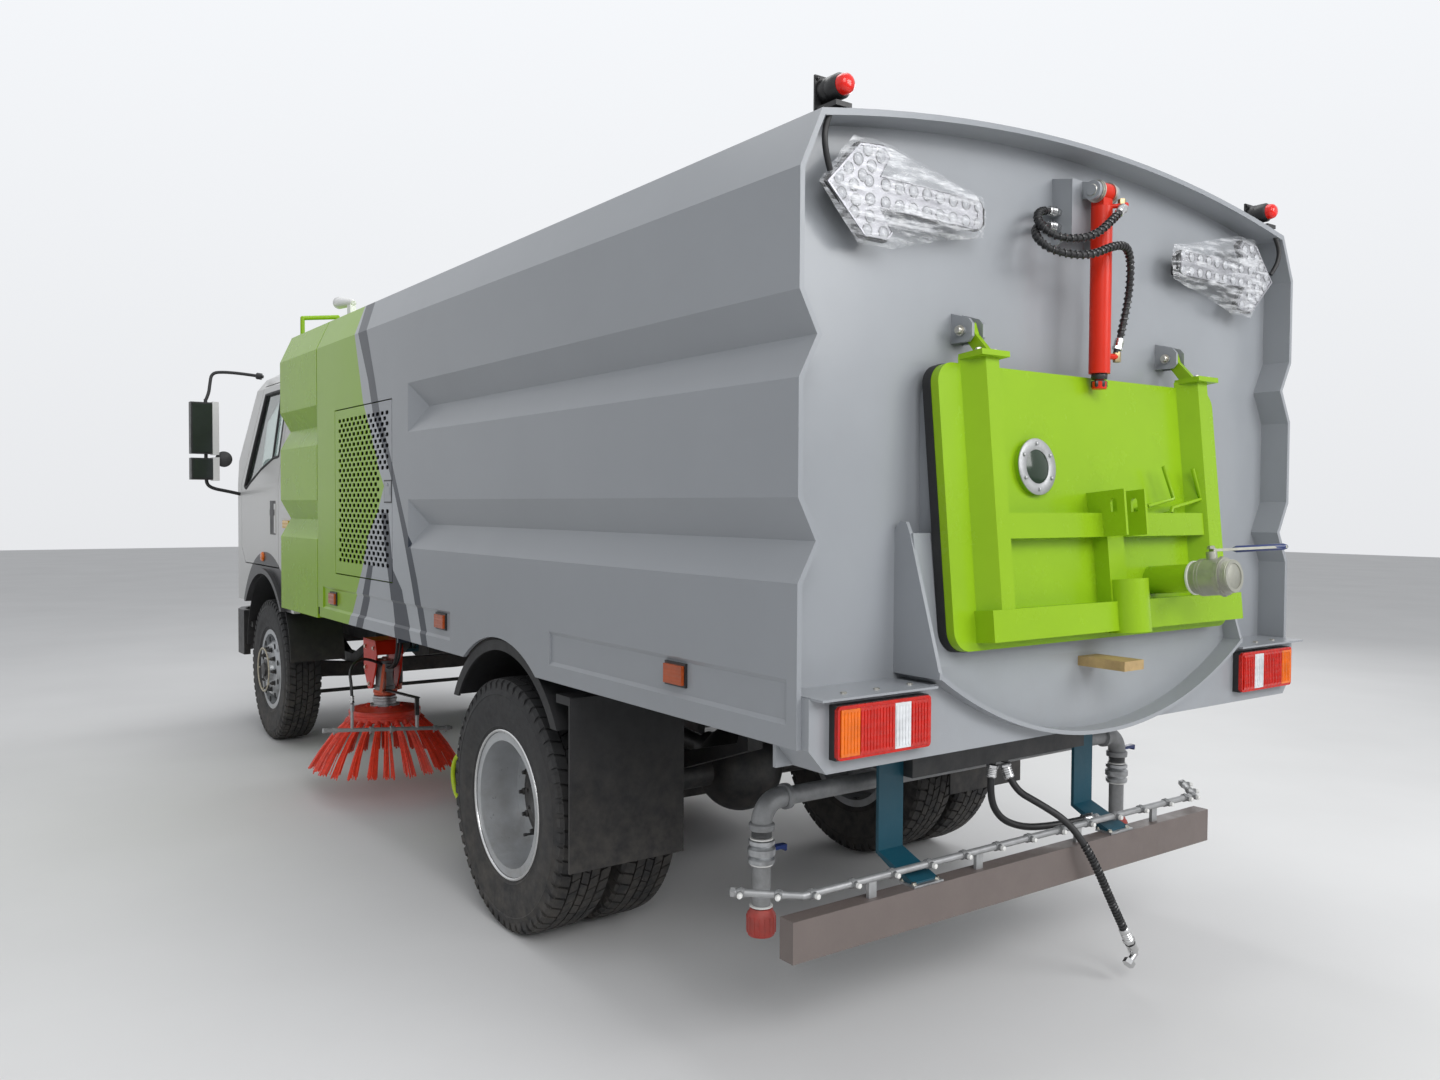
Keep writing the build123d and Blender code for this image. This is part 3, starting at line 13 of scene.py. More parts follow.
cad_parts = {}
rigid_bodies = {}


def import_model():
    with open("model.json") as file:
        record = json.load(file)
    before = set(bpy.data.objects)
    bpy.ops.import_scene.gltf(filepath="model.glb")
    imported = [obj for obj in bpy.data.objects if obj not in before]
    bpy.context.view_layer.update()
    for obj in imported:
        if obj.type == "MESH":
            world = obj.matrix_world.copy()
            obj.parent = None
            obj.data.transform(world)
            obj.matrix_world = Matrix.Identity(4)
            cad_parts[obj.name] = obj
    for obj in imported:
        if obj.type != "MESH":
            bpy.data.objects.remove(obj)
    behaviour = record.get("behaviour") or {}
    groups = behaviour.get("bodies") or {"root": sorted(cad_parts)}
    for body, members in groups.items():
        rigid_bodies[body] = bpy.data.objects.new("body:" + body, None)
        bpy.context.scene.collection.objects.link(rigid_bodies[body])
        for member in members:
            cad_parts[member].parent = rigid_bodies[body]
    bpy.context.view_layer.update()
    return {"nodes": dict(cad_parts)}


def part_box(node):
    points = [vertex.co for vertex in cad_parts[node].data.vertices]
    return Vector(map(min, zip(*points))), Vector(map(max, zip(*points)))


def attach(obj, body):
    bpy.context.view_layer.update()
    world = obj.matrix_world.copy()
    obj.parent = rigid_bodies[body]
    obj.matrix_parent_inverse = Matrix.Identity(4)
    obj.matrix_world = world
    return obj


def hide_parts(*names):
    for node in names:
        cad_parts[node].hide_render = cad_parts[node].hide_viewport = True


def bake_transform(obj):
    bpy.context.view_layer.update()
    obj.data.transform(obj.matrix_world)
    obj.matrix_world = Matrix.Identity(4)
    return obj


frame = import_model()
nodes = frame["nodes"]
tyre_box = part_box("rear_tyres_left")
axle_x = (tyre_box[0][0] + tyre_box[1][0]) / 2
random.seed(7)

# Ways, and sizes of the body that the small pieces line up with
up = (0, 0, 1)
down = (0, 0, -1)
left = (0, 1, 0)
rear = (-1, 0, 0)
half_width = 1.1756
panel_x = -1.710
wheelbase = 4.200
tyre_radius = 0.487
door_face = -1.795
door_lean = 5.71
flare_z = 0.560
flare_radius = 0.745
beam_top = 0.4995


def shift(point):
    return Vector((point[0] + axle_x, point[1], point[2]))


# Shapes

def turns(count, first=0.0):
    return [first + 2 * pi * k / count for k in range(count)]


def spot_round(centre, radius, turn, plane="xz"):
    """The point at a turn round a centre, in the plane of two axes."""
    spot = list(centre)
    spot["xyz".index(plane[0])] += radius * cos(turn)
    spot["xyz".index(plane[1])] += radius * sin(turn)
    return Vector(spot)


def spoke(way, side, turn, radius):
    """From a line to a point beside it, at a turn round the line."""
    return (side * cos(turn) + way.cross(side) * sin(turn)) * radius


class Shape:
    """Collects solids in one mesh."""

    def __init__(self):
        self.bm = bmesh.new()

    def ring(self, points):
        return [self.bm.verts.new(p) for p in points]

    def walls(self, rings, closed=False):
        """Faces between each ring and the next, with as many points in each."""
        for one, two in zip(rings, rings[1:] + rings[:1] if closed else rings[1:]):
            for i in range(len(one)):
                j = (i + 1) % len(one)
                self.bm.faces.new((one[i], one[j], two[j], two[i]))

    def ends(self, rings):
        for ring in (rings[0][::-1], rings[-1]):
            if len(ring) > 2:
                self.bm.faces.new(ring)

    def block(self, corners):
        v = self.ring(corners)
        for f in ((0, 1, 3, 2), (4, 6, 7, 5), (0, 4, 5, 1), (2, 3, 7, 6), (0, 2, 6, 4), (1, 5, 7, 3)):
            self.bm.faces.new([v[i] for i in f])

    def box(self, x0, x1, y0, y1, z0, z1):
        self.block([(x, y, z) for x in (x0, x1) for y in (y0, y1) for z in (z0, z1)])

    def sheet(self, front, back):
        """Closed solid between two outlines."""
        rings = [self.ring(front), self.ring(back)]
        self.ends(rings)
        self.walls(rings)

    def prism(self, outline, axis, start, stop):
        """Closed outline pushed along x (y, z points), y (x, z) or z (x, y)."""
        order = {"x": (2, 0, 1), "y": (0, 2, 1), "z": (0, 1, 2)}[axis]
        self.sheet(*([[(a, b, level)[i] for i in order] for a, b in outline] for level in (start, stop)))

    def lathe(self, origin, way, profile, sides=32):
        """Turn (radius, height) points about the line from origin along way."""
        origin = Vector(origin)
        way = Vector(way).normalized()
        side = way.orthogonal().normalized()
        rings = []
        for radius, height in profile:
            centre = origin + way * height
            rings.append(self.ring(centre + spoke(way, side, turn, radius)
                for turn in turns(sides if radius else 1)))
        for one, two in zip(rings, rings[1:]):
            for i in range(sides):
                j = (i + 1) % sides
                corners = (one[i % len(one)], one[j % len(one)], two[j % len(two)], two[i % len(two)])
                corners = [c for k, c in enumerate(corners) if c not in corners[:k]]
                if len(corners) > 2:
                    self.bm.faces.new(corners)
        if profile[0] != profile[-1]:
            self.ends(rings)

    def rod(self, start, stop, radius, end_radius=None, sides=20):
        way = Vector(stop) - Vector(start)
        self.lathe(start, way, [(radius, 0), (end_radius or radius, way.length)], sides)

    def tube(self, points, radius, sides=10, closed=False):
        """Round tube along points, with a frame carried along so that it doesn't twist."""
        spots = [Vector(p) for p in points]
        count = len(spots)
        radii = radius if isinstance(radius, list) else [radius] * count
        rings = []
        side = None
        for i, spot in enumerate(spots):
            before = spots[i - 1] if i or closed else spot
            after = spots[(i + 1) % count] if i < count - 1 or closed else spot
            way = (after - before).normalized()
            if side is None:
                side = way.orthogonal().normalized()
            side = (side - way * side.dot(way)).normalized()
            rings.append(self.ring(spot + spoke(way, side, turn, radii[i]) for turn in turns(sides)))
        self.walls(rings, closed)
        if not closed:
            self.ends(rings)

    def bolt(self, spot, way, size):
        """Hex head on a washer."""
        self.lathe(spot, way, [(size * 1.15, 0), (size * 1.15, size * 0.18), (0, size * 0.18)], 16)
        self.lathe(Vector(spot) + Vector(way).normalized() * size * 0.18, way,
            [(size * 0.85, 0), (size * 0.85, size * 0.5), (size * 0.68, size * 0.6), (0, size * 0.6)], 6)

    def mirror(self):
        """Add the same on the other side of the truck."""
        copy = bmesh.ops.duplicate(self.bm, geom=[*self.bm.verts, *self.bm.edges, *self.bm.faces])["geom"]
        for part in copy:
            if isinstance(part, bmesh.types.BMVert):
                part.co.y = -part.co.y
        bmesh.ops.reverse_faces(self.bm,
            faces=[part for part in copy if isinstance(part, bmesh.types.BMFace)])
        return self

    def lean(self):
        """Lean what is drawn upright on the rear door as the door leans."""
        bmesh.ops.rotate(self.bm, cent=Vector((door_face, 0, 2.040)), verts=self.bm.verts,
            matrix=Matrix.Rotation(radians(door_lean), 4, Vector(left)).to_3x3())
        return self

    def bevel(self, width, segments=2, sharper_than=30):
        edges = [e for e in self.bm.edges if len(e.link_faces) == 2
            and degrees(e.calc_face_angle(0)) > sharper_than]
        bmesh.ops.bevel(self.bm, geom=edges, offset=width, segments=segments, affect="EDGES",
            clamp_overlap=True)
        return self

    def piece(self, name, material, body, stands_for=(), smooth_under=40):
        """Finish the mesh, give it its material and let it ride on its body."""
        bmesh.ops.recalc_face_normals(self.bm, faces=self.bm.faces)
        bmesh.ops.translate(self.bm, vec=(axle_x, 0, 0), verts=self.bm.verts)
        limit = radians(smooth_under)
        for edge in self.bm.edges:
            edge.smooth = len(edge.link_faces) == 2 and edge.calc_face_angle(0) < limit
        for face in self.bm.faces:
            face.smooth = True
        mesh = bpy.data.meshes.new(name)
        self.bm.to_mesh(mesh)
        self.bm.free()
        item = bpy.data.objects.new(name, mesh)
        bpy.context.scene.collection.objects.link(item)
        mesh.materials.append(materials[material])
        if body:
            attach(item, body)
        if stands_for:
            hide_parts(*stands_for)
        return item


def both_sides(name, material, body, node=None, smooth_under=40):
    """Draw a piece on the left, and its mirror image on the right; {} stands for the side."""
    def draw_both(draw):
        for side in ("left", "right"):
            shape = Shape()
            draw(shape)
            if side == "right":
                for vert in shape.bm.verts:
                    vert.co.y = -vert.co.y
            stands_for = [node.format(side)] if node else ()
            shape.piece(f"{name}_{side}", material, body.format(side), stands_for, smooth_under)
        return draw
    return draw_both


# Materials

materials = {}


def fill(tree, node, values):
    """Give a node's sockets numbers and colours, or link them to the outputs of other nodes."""
    for key, value in values.items():
        if isinstance(value, bpy.types.NodeSocket):
            tree.links.new(value, node.inputs[key])
        else:
            node.inputs[key].default_value = value


def add(tree, kind, values=None, **settings):
    node = tree.nodes.new("ShaderNode" + kind)
    for key, value in settings.items():
        setattr(node, key, value)
    fill(tree, node, values or {})
    return node


def math_node(tree, operation, *values):
    return add(tree, "Math", dict(enumerate(values)), operation=operation).outputs[0]


def colour_mix(tree, factor, one, two, blend="MIX"):
    one, two = ((*tone, 1) if isinstance(tone, tuple) else tone for tone in (one, two))
    return add(tree, "Mix", {0: factor, 6: one, 7: two}, data_type="RGBA", blend_type=blend).outputs[2]


def ramp(tree, value, low, high, out_low=0.0, out_high=1.0):
    return add(tree, "MapRange", {"Value": value, "From Min": low, "From Max": high, "To Min": out_low,
        "To Max": out_high}).outputs[0]


def place(tree):
    """Where a point is on the truck at rest."""
    return add(tree, "TexCoord").outputs["Object"]


def along(tree, origin=0.0):
    """How far a point is in front of the rear axle, or of a place in front of that."""
    return math_node(tree, "SUBTRACT", add(tree, "SeparateXYZ", {0: place(tree)}).outputs[0], axle_x + origin)


def height(tree):
    return add(tree, "SeparateXYZ", {0: place(tree)}).outputs[2]


def noise(tree, scale, detail=3.0, rough=0.5, vector=None):
    return add(tree, "TexNoise", {"Vector": vector or place(tree), "Scale": scale, "Detail": detail,
        "Roughness": rough}).outputs[0]


def drift_mix(tree, drift, one, two, blend=None):
    """Two colours that drift into each other; multiplied onto a third where one is given."""
    mixed = colour_mix(tree, ramp(tree, drift, 0.3, 0.7), one, two)
    return colour_mix(tree, 1.0, blend, mixed, "MULTIPLY") if blend else mixed


def add_bump(tree, shader, strength, distance, lift):
    bump = add(tree, "Bump", {"Strength": strength, "Distance": distance, "Height": lift})
    fill(tree, shader, {"Normal": bump.outputs[0]})


def start_material(name):
    made = bpy.data.materials.new(name)
    made.use_nodes = True
    materials[name] = made
    return made.node_tree, made.node_tree.nodes["Principled BSDF"]


def finish_material(name, colour, rough, metal, spread, mottle, coat, dust, dust_top, bump, grain,
        rough_spread=0.08, shine=0.5, paint=None):
    """A surface with colour drift, uneven gloss, fine grain and road dust that thins out upwards."""
    tree, shader = start_material(name)
    drift = noise(tree, mottle, 5.0, 0.6)
    if paint:
        tone = drift_mix(tree, drift, (1 - spread,) * 3, (1.0, 1.0, 1.0), paint(tree))
    else:
        tone = drift_mix(tree, drift, tuple(c * (1 - spread) for c in colour),
            tuple(min(1.0, c * (1 + spread)) for c in colour))
    if dust:
        fade = ramp(tree, height(tree), 0.15, dust_top, dust, 0.0)
        patch = math_node(tree, "MULTIPLY", fade, ramp(tree, noise(tree, 14.0, 6.0, 0.65), 0.35, 0.7))
        tone = colour_mix(tree, patch, tone, (0.20, 0.175, 0.145))
    gloss = ramp(tree, noise(tree, mottle * 3, 6.0, 0.7), 0.3, 0.7, max(0.02, rough - rough_spread),
        rough + rough_spread)
    fill(tree, shader, {"Base Color": tone, "Roughness": gloss, "Metallic": metal,
        "Specular IOR Level": shine, "Coat Weight": coat, "Coat Roughness": 0.12})
    if bump:
        add_bump(tree, shader, bump, 0.001, noise(tree, grain, 2.0))


def lens_material(name, colour, ribs=0.0):
    """Moulded lamp plastic, with fine prisms where it has ribs."""
    tree, shader = start_material(name)
    tone = drift_mix(tree, noise(tree, 30.0), tuple(c * 0.8 for c in colour), colour)
    fill(tree, shader, {"Base Color": tone, "Roughness": 0.16, "Specular IOR Level": 0.35,
        "Coat Weight": 0.25})
    if ribs:
        waves = [add(tree, "TexWave", {"Vector": place(tree), "Scale": ribs},
            bands_direction=axis).outputs["Fac"] for axis in "YZ"]
        add_bump(tree, shader, 0.5, 0.002, math_node(tree, "ADD", *waves))


def glass_material(name, colour):
    tree, shader = start_material(name)
    tone = drift_mix(tree, noise(tree, 3.0, 4.0), tuple(c * 0.92 for c in colour), colour)
    gloss = ramp(tree, noise(tree, 9.0, 5.0), 0.3, 0.8, 0.02, 0.05)
    fill(tree, shader, {"Base Color": tone, "Roughness": gloss, "Transmission Weight": 1.0, "IOR": 1.45})


def film_material(name):
    """Thin clear wrapping with creases."""
    tree, shader = start_material(name)
    tone = drift_mix(tree, noise(tree, 20.0), (0.78, 0.80, 0.84), (0.95, 0.96, 0.98))
    pulled = add(tree, "Mapping", {"Vector": place(tree), "Scale": (1.0, 0.35, 2.4)}).outputs[0]
    creases = noise(tree, 24.0, 5.0, 0.65, pulled)
    fill(tree, shader, {"Base Color": tone, "Alpha": ramp(tree, creases, 0.45, 0.66, 0.10, 0.66),
        "Roughness": 0.12, "Specular IOR Level": 0.8})
    add_bump(tree, shader, 0.6, 0.008, creases)


# Livery of the body: (x, z) edges of the painted fields, at the side wall

green_edge = [(1.700, 2.70), (1.624, 2.46), (1.564, 2.297), (1.506, 2.136), (1.404, 1.995), (1.278, 1.80),
    (1.21, 1.724), (1.294, 1.612), (1.44, 1.485), (1.532, 1.316), (1.658, 1.15), (1.756, 1.02)]
stripe_rear = [(1.562, 2.70), (1.428, 2.437), (1.33, 2.227), (1.261, 2.062), (1.127, 1.87), (1.023, 1.704),
    (0.91, 1.525), (0.789, 1.309), (0.662, 1.02)]
stripe_front = [(1.700, 2.70), (1.562, 2.453), (1.431, 2.236), (1.36, 2.069), (1.194, 1.873),
    (1.075, 1.704), (0.973, 1.524), (0.863, 1.305), (0.732, 1.02)]
leg_rear = [(1.369, 1.345), (1.444, 1.165), (1.535, 1.02)]
leg_front = [(1.442, 1.345), (1.549, 1.157), (1.635, 1.02)]
wedge_front = [(1.252, 1.612), (1.199, 1.426), (1.133, 1.243), (1.065, 1.02)]
wedge_rear = [(1.157, 1.612), (1.092, 1.338), (0.976, 1.253), (0.860, 1.02)]
paint_grey = (0.292, 0.308, 0.330)
paint_light = (0.37, 0.39, 0.415)
paint_dark = (0.022, 0.030, 0.045)
paint_green = (0.250, 0.435, 0.010)
beam_brown = (0.15, 0.122, 0.113)
hanger_teal = (0, 0.06, 0.095)
cab_white = (0.6, 0.6, 0.59)
flare_grey = (0.045, 0.045, 0.048)


def edge_side(tree, x, z, edge):
    """1 in front of the edge, 0 behind it, with the edge given as (x, z) points."""
    low_z = min(p[1] for p in edge)
    high_z = max(p[1] for p in edge)
    low_x = min(p[0] for p in edge) - 0.01
    high_x = max(p[0] for p in edge) + 0.01
    curve = add(tree, "FloatCurve", {"Value": ramp(tree, z, low_z, high_z)})
    line = curve.mapping.curves[0]
    points = sorted(((p[1] - low_z) / (high_z - low_z), (p[0] - low_x) / (high_x - low_x)) for p in edge)
    while len(line.points) < len(points):
        line.points.new(0.5, 0.5)
    for spot, point in zip(line.points, points):
        spot.location = point
        spot.handle_type = "VECTOR"
    curve.mapping.update()
    border = ramp(tree, curve.outputs[0], 0, 1, low_x, high_x)
    return math_node(tree, "GREATER_THAN", math_node(tree, "SUBTRACT", x, border), 0.0)


def livery(tree):
    x = along(tree)
    z = height(tree)
    tone = paint_grey
    for back, front, top, colour in ((stripe_front, green_edge, 2.9, paint_light),
            (wedge_rear, wedge_front, 1.60, paint_dark), (leg_rear, leg_front, 1.345, paint_dark),
            (stripe_rear, stripe_front, 2.9, paint_dark)):
        field = math_node(tree, "SUBTRACT", edge_side(tree, x, z, back), edge_side(tree, x, z, front))
        level = math_node(tree, "MULTIPLY", math_node(tree, "GREATER_THAN", z, 0.9),
            math_node(tree, "LESS_THAN", z, top))
        tone = colour_mix(tree, math_node(tree, "MULTIPLY", level, field), tone, colour)
    return colour_mix(tree, edge_side(tree, x, z, green_edge), tone, paint_green)


def guard_paint(tree):
    """The under-run beam is bare brown below its teal hangers."""
    return colour_mix(tree, math_node(tree, "GREATER_THAN", height(tree), beam_top), beam_brown, hanger_teal)


def cab_paint(tree):
    """White cab with dark grey flares around the front wheels."""
    x = along(tree, wheelbase)
    z = math_node(tree, "SUBTRACT", height(tree), flare_z)
    squares = math_node(tree, "ADD", math_node(tree, "MULTIPLY", x, x), math_node(tree, "MULTIPLY", z, z))
    return colour_mix(tree, math_node(tree, "LESS_THAN", squares, flare_radius ** 2), cab_white, flare_grey)


# Each finish: colour, roughness, metal, spread of the colour, scale of its drift, coat, dust, height where
# the dust ends, bump and scale of the grain; some have the spread of the roughness, the shine and a paint too
finishes = {
    "body_paint": (paint_grey, 0.3, 0, 0.05, 1.6, 0.08, 0.3, 1.3, 0.02, 60, 0.02, 0.3, livery),
    "grey_paint": (paint_grey, 0.3, 0, 0.05, 1.6, 0.15, 0.25, 1.4, 0.02, 60, 0.02, 0.4),
    "green_paint": (paint_green, 0.27, 0, 0.05, 2, 0.04, 0.12, 1.5, 0.01, 60, 0.01, 0.2),
    "chassis_paint": ((0.014, 0.015, 0.017), 0.5, 0, 0.3, 6, 0, 0.35, 1.1, 0.25, 120),
    "engine_iron": ((0.05, 0.052, 0.055), 0.6, 0.4, 0.3, 6, 0, 0.5, 1.6, 0.5, 90),
    "tank_metal": ((0.42, 0.43, 0.44), 0.35, 0.9, 0.1, 6, 0, 0.6, 0.9, 0.15, 60),
    "flap_rubber": ((0.012, 0.012, 0.013), 0.62, 0, 0.3, 6, 0, 0.35, 0.9, 0.3, 160),
    "trim_black": ((0.015, 0.015, 0.016), 0.42, 0, 0.25, 6, 0, 0.3, 0.9, 0.25, 420),
    "teal_paint": (hanger_teal, 0.3, 0, 0.12, 6, 0.2, 0.12, 1, 0.1, 140),
    "beam_paint": (beam_brown, 0.5, 0, 0.1, 6, 0, 0.2, 0.6, 0.2, 120, 0.08, 0.5, guard_paint),
    "galvanised": ((0.4, 0.41, 0.42), 0.42, 0.85, 0.25, 28, 0, 0.2, 0.9, 0.15, 70),
    "bright_steel": ((0.62, 0.62, 0.62), 0.22, 1, 0.1, 6, 0, 0.1, 0.9, 0.1, 220),
    "dull_steel": ((0.36, 0.365, 0.37), 0.45, 0.55, 0.12, 30, 0, 0.15, 0.9, 0.15, 120),
    "white_paint": ((0.7, 0.7, 0.69), 0.25, 0, 0.03, 2, 0.3, 0.25, 1.2, 0.02, 60, 0.05),
    "flared_white": (cab_white, 0.3, 0, 0.03, 2, 0.06, 0.2, 1.2, 0.02, 60, 0.02, 0.35, cab_paint),
    "rim_paint": ((0.46, 0.475, 0.49), 0.34, 0.35, 0.08, 6, 0, 0.45, 0.9, 0.1, 160),
    "red_paint": ((0.6, 0.022, 0.006), 0.34, 0, 0.06, 6, 0.04, 0, 0.9, 0.05, 200, 0.08, 0.22),
    "brush_red": ((0.62, 0.035, 0.015), 0.4, 0, 0.15, 30, 0, 0.35, 0.7, 0.15, 200),
    "orange_paint": ((0.66, 0.1, 0.03), 0.35, 0, 0.15, 6, 0, 0.3, 0.9, 0.15, 140),
    "hose_rubber": ((0.014, 0.014, 0.015), 0.5, 0, 0.3, 6, 0, 0, 0.9, 0.3, 260),
    "tyre_rubber": ((0.017, 0.017, 0.018), 0.72, 0, 0.25, 12, 0, 0.3, 0.8, 0.35, 140),
    "seat_cloth": ((0.045, 0.047, 0.052), 0.85, 0, 0.3, 18, 0, 0, 0.9, 0.6, 700),
    "brass": ((0.42, 0.34, 0.19), 0.38, 0.9, 0.2, 6, 0, 0, 0.9, 0.1, 150),
    "hose_wrap": ((0.016, 0.016, 0.017), 0.28, 0, 0.2, 6, 0.4, 0, 0.9, 0.1, 200),
    "zinc": ((0.58, 0.56, 0.5), 0.33, 0.95, 0.15, 40, 0, 0, 0.9, 0.1, 160),
    "valve_nickel": ((0.36, 0.36, 0.31), 0.42, 0.6, 0.12, 30, 0, 0, 0.9, 0.1, 160),
    "pipe_grey": ((0.24, 0.245, 0.25), 0.5, 0.35, 0.18, 22, 0, 0.25, 0.9, 0.2, 90),
    "white_plastic": ((0.72, 0.72, 0.7), 0.4, 0, 0.08, 30, 0, 0, 0.9, 0.08, 200),
    "blue_grip": ((0.006, 0.022, 0.12), 0.35, 0, 0.15, 40, 0, 0, 0.9, 0.1, 200),
    "red_cap": ((0.36, 0.028, 0.02), 0.5, 0, 0.2, 30, 0, 0.3, 0.9, 0.3, 120),
    "bristle_red": ((0.8, 0.055, 0.02), 0.42, 0, 0.2, 60, 0, 0.12, 0.3, 0.15, 400),
    "plank_wood": ((0.42, 0.29, 0.13), 0.6, 0, 0.35, 9, 0, 0, 0.9, 0.5, 60),
    # Near-black painted shade, for holes and openings where one looks into a hollow
    "hollow_dark": ((0.005, 0.005, 0.005), 0.9, 0, 0.4, 40, 0, 0, 0.9, 0.3, 90),
    "nut_beige": ((0.52, 0.47, 0.36), 0.45, 0, 0.12, 20, 0, 0.3, 0.9, 0.15, 160),
    "yellow_green": ((0.55, 0.72, 0.02), 0.35, 0, 0.1, 20, 0, 0, 0.9, 0.1, 160),
    "lamp_silver": ((0.33, 0.33, 0.355), 0.36, 0.6, 0.08, 20, 0, 0, 0.9, 0.1, 200),
    "mirror_glass": ((0.045, 0.052, 0.055), 0.08, 0.35, 0.1, 6, 0, 0, 0.9, 0, 300, 0.01),
}
for name, settings in finishes.items():
    finish_material(name, *settings)
lens_ribs = 14.0
for name, colour in (("red_lens", (0.55, 0.012, 0.005)), ("amber_lens", (0.80, 0.16, 0.004)),
        ("marker_lens", (0.40, 0.070, 0.012)), ("yellow_lens", (0.80, 0.45, 0.02)),
        ("clear_lens", (0.72, 0.74, 0.76))):
    lens_material(name, colour, lens_ribs)
lens_material("beacon_lens", (0.80, 0.016, 0.010))
# Opaque dark green pane: painted shade of the hopper's inside, seen through the porthole
lens_material("porthole_glass_shade", (0.012, 0.03, 0.014))
lens_material("led_lens", (0.50, 0.51, 0.54))
glass_material("window_glass", (0.62, 0.70, 0.68))
film_material("clear_film")

node_finish = {
    "body_paint": "hopper access_door_left access_door_right",
    "grey_paint": "rear_panel",
    "green_paint": "water_tank rear_door",
    "chassis_paint": "chassis_frame front_axle rear_axle propeller_shaft knuckle_left knuckle_right tie_rod "
                     "suction_nozzle hoist_barrels brush_arm_left brush_arm_right",
    "engine_iron": "drive_engine sweeper_engine",
    "tank_metal": "fuel_tank",
    "flap_rubber": "rear_mudguards",
    "trim_black": "beacons arrow_lamps tail_lamps cab_mirrors dashboard front_bumper",
    "teal_paint": "brush_pivots",
    "beam_paint": "under_run_guard",
    "galvanised": "drain_pipes",
    "bright_steel": "hoist_rods rear_hose_elbow",
    "valve_nickel": "drain_valve",
    "dull_steel": "rear_spray_bar",
    "flared_white": "cab cab_door_left cab_door_right",
    "rim_paint": "front_rim_left front_rim_right rear_rims_left rear_rims_right",
    "red_paint": "door_cylinder",
    "orange_paint": "brush_head_left brush_head_right",
    "brush_red": "side_brush_left side_brush_right",
    "hose_rubber": "rear_hose loop_hose cylinder_hose_top cylinder_hose_bottom",
    "tyre_rubber": "front_tyre_left front_tyre_right rear_tyres_left rear_tyres_right",
    "seat_cloth": "cab_seats",
    "clear_lens": "headlamps",
}
for finish, names in node_finish.items():
    for name in names.split():
        for part in [nodes[name], *nodes[name].children_recursive]:
            if part.type == "MESH":
                part.data.materials.clear()
                part.data.materials.append(materials[finish])


# Lines and outlines that pieces follow

def route_line(points):
    """Points along the soft line of a hose, from its control points."""
    curve = bpy.data.curves.new("route", "CURVE")
    curve.dimensions = "3D"
    curve.resolution_u = 12
    spline = curve.splines.new("NURBS")
    spline.points.add(len(points) - 1)
    for spot, point in zip(spline.points, points):
        spot.co = (*point, 1)
    spline.order_u = 3
    spline.use_endpoint_u = True
    holder = bpy.data.objects.new("route", curve)
    mesh = bpy.data.meshes.new_from_object(holder)
    line = [v.co.copy() for v in mesh.vertices]
    bpy.data.objects.remove(holder)
    bpy.data.curves.remove(curve)
    bpy.data.meshes.remove(mesh)
    return line


def walk(line):
    """How far along the line each of its points is."""
    lengths = [0.0]
    for one, two in zip(line, line[1:]):
        lengths.append(lengths[-1] + (two - one).length)
    return lengths


def spot_at(line, share):
    """A point on the line at a share of its length, and the way it runs there."""
    lengths = walk(line)
    at = share * lengths[-1]
    i = max(k for k in range(len(line) - 1) if lengths[k] <= at or k == 0)
    way = line[i + 1] - line[i]
    return line[i] + way * ((at - lengths[i]) / way.length), way.normalized()


def spiral(line, radius, pitch, start, stop, per_turn=10):
    """Points of a spiral around a line, between two shares of its length."""
    count = int((stop - start) * walk(line)[-1] / pitch * per_turn)
    side = None
    spots = []
    for k in range(count + 1):
        centre, way = spot_at(line, start + (stop - start) * k / count)
        if side is None:
            side = way.orthogonal().normalized()
        side = (side - way * side.dot(way)).normalized()
        spots.append(centre + spoke(way, side, 2 * pi * k / per_turn, radius))
    return spots


def rounded_outline(half, bottom, top, radius, steps=6):
    """Rectangle with round corners, as (y, z) points."""
    points = []
    for cy, cz, first in ((half - radius, top - radius, 0), (radius - half, top - radius, 90),
            (radius - half, bottom + radius, 180), (half - radius, bottom + radius, 270)):
        for k in range(steps + 1):
            turn = radians(first + 90 * k / steps)
            points.append((cy + radius * cos(turn), cz + radius * sin(turn)))
    return points


def band(shape, outer, inner, start, stop):
    """Wall between two (y, z) outlines with as many points each, from x start to stop."""
    shape.walls([shape.ring((x, y, z) for y, z in outline)
        for x, outline in ((start, outer), (stop, outer), (stop, inner), (start, inner))], closed=True)


# Hoses

rear_route = [(-1.450, -0.040, 0.768), (-1.478, -0.048, 0.690), (-1.545, -0.105, 0.645),
    (-1.610, -0.165, 0.592), (-1.650, -0.205, 0.520), (-1.668, -0.262, 0.420), (-1.674, -0.330, 0.300),
    (-1.676, -0.436, 0.138)]
loop_route = [(-1.440, 0.010, 0.768), (-1.436, 0.022, 0.680), (-1.448, -0.010, 0.590),
    (-1.478, -0.098, 0.548), (-1.515, -0.208, 0.545), (-1.550, -0.310, 0.555), (-1.562, -0.375, 0.558)]
top_route = [(-1.737, 0.104, 2.545), (-1.745, 0.190, 2.540), (-1.786, 0.250, 2.480), (-1.846, 0.228, 2.425),
    (-1.893, 0.130, 2.432), (-1.900, 0.038, 2.500), (-1.882, -0.036, 2.550)]
bottom_route = [(-1.737, 0.104, 2.500), (-1.747, 0.195, 2.494), (-1.788, 0.264, 2.440),
    (-1.846, 0.254, 2.385), (-1.902, 0.158, 2.372), (-1.916, 0.050, 2.420), (-1.900, -0.040, 2.428),
    (-1.868, -0.098, 2.350), (-1.848, -0.102, 2.230), (-1.838, -0.072, 2.118)]
cylinder_bend = (shift((-1.705, 0, 2.4)), shift((-1.843, -0.048, 2.4)))


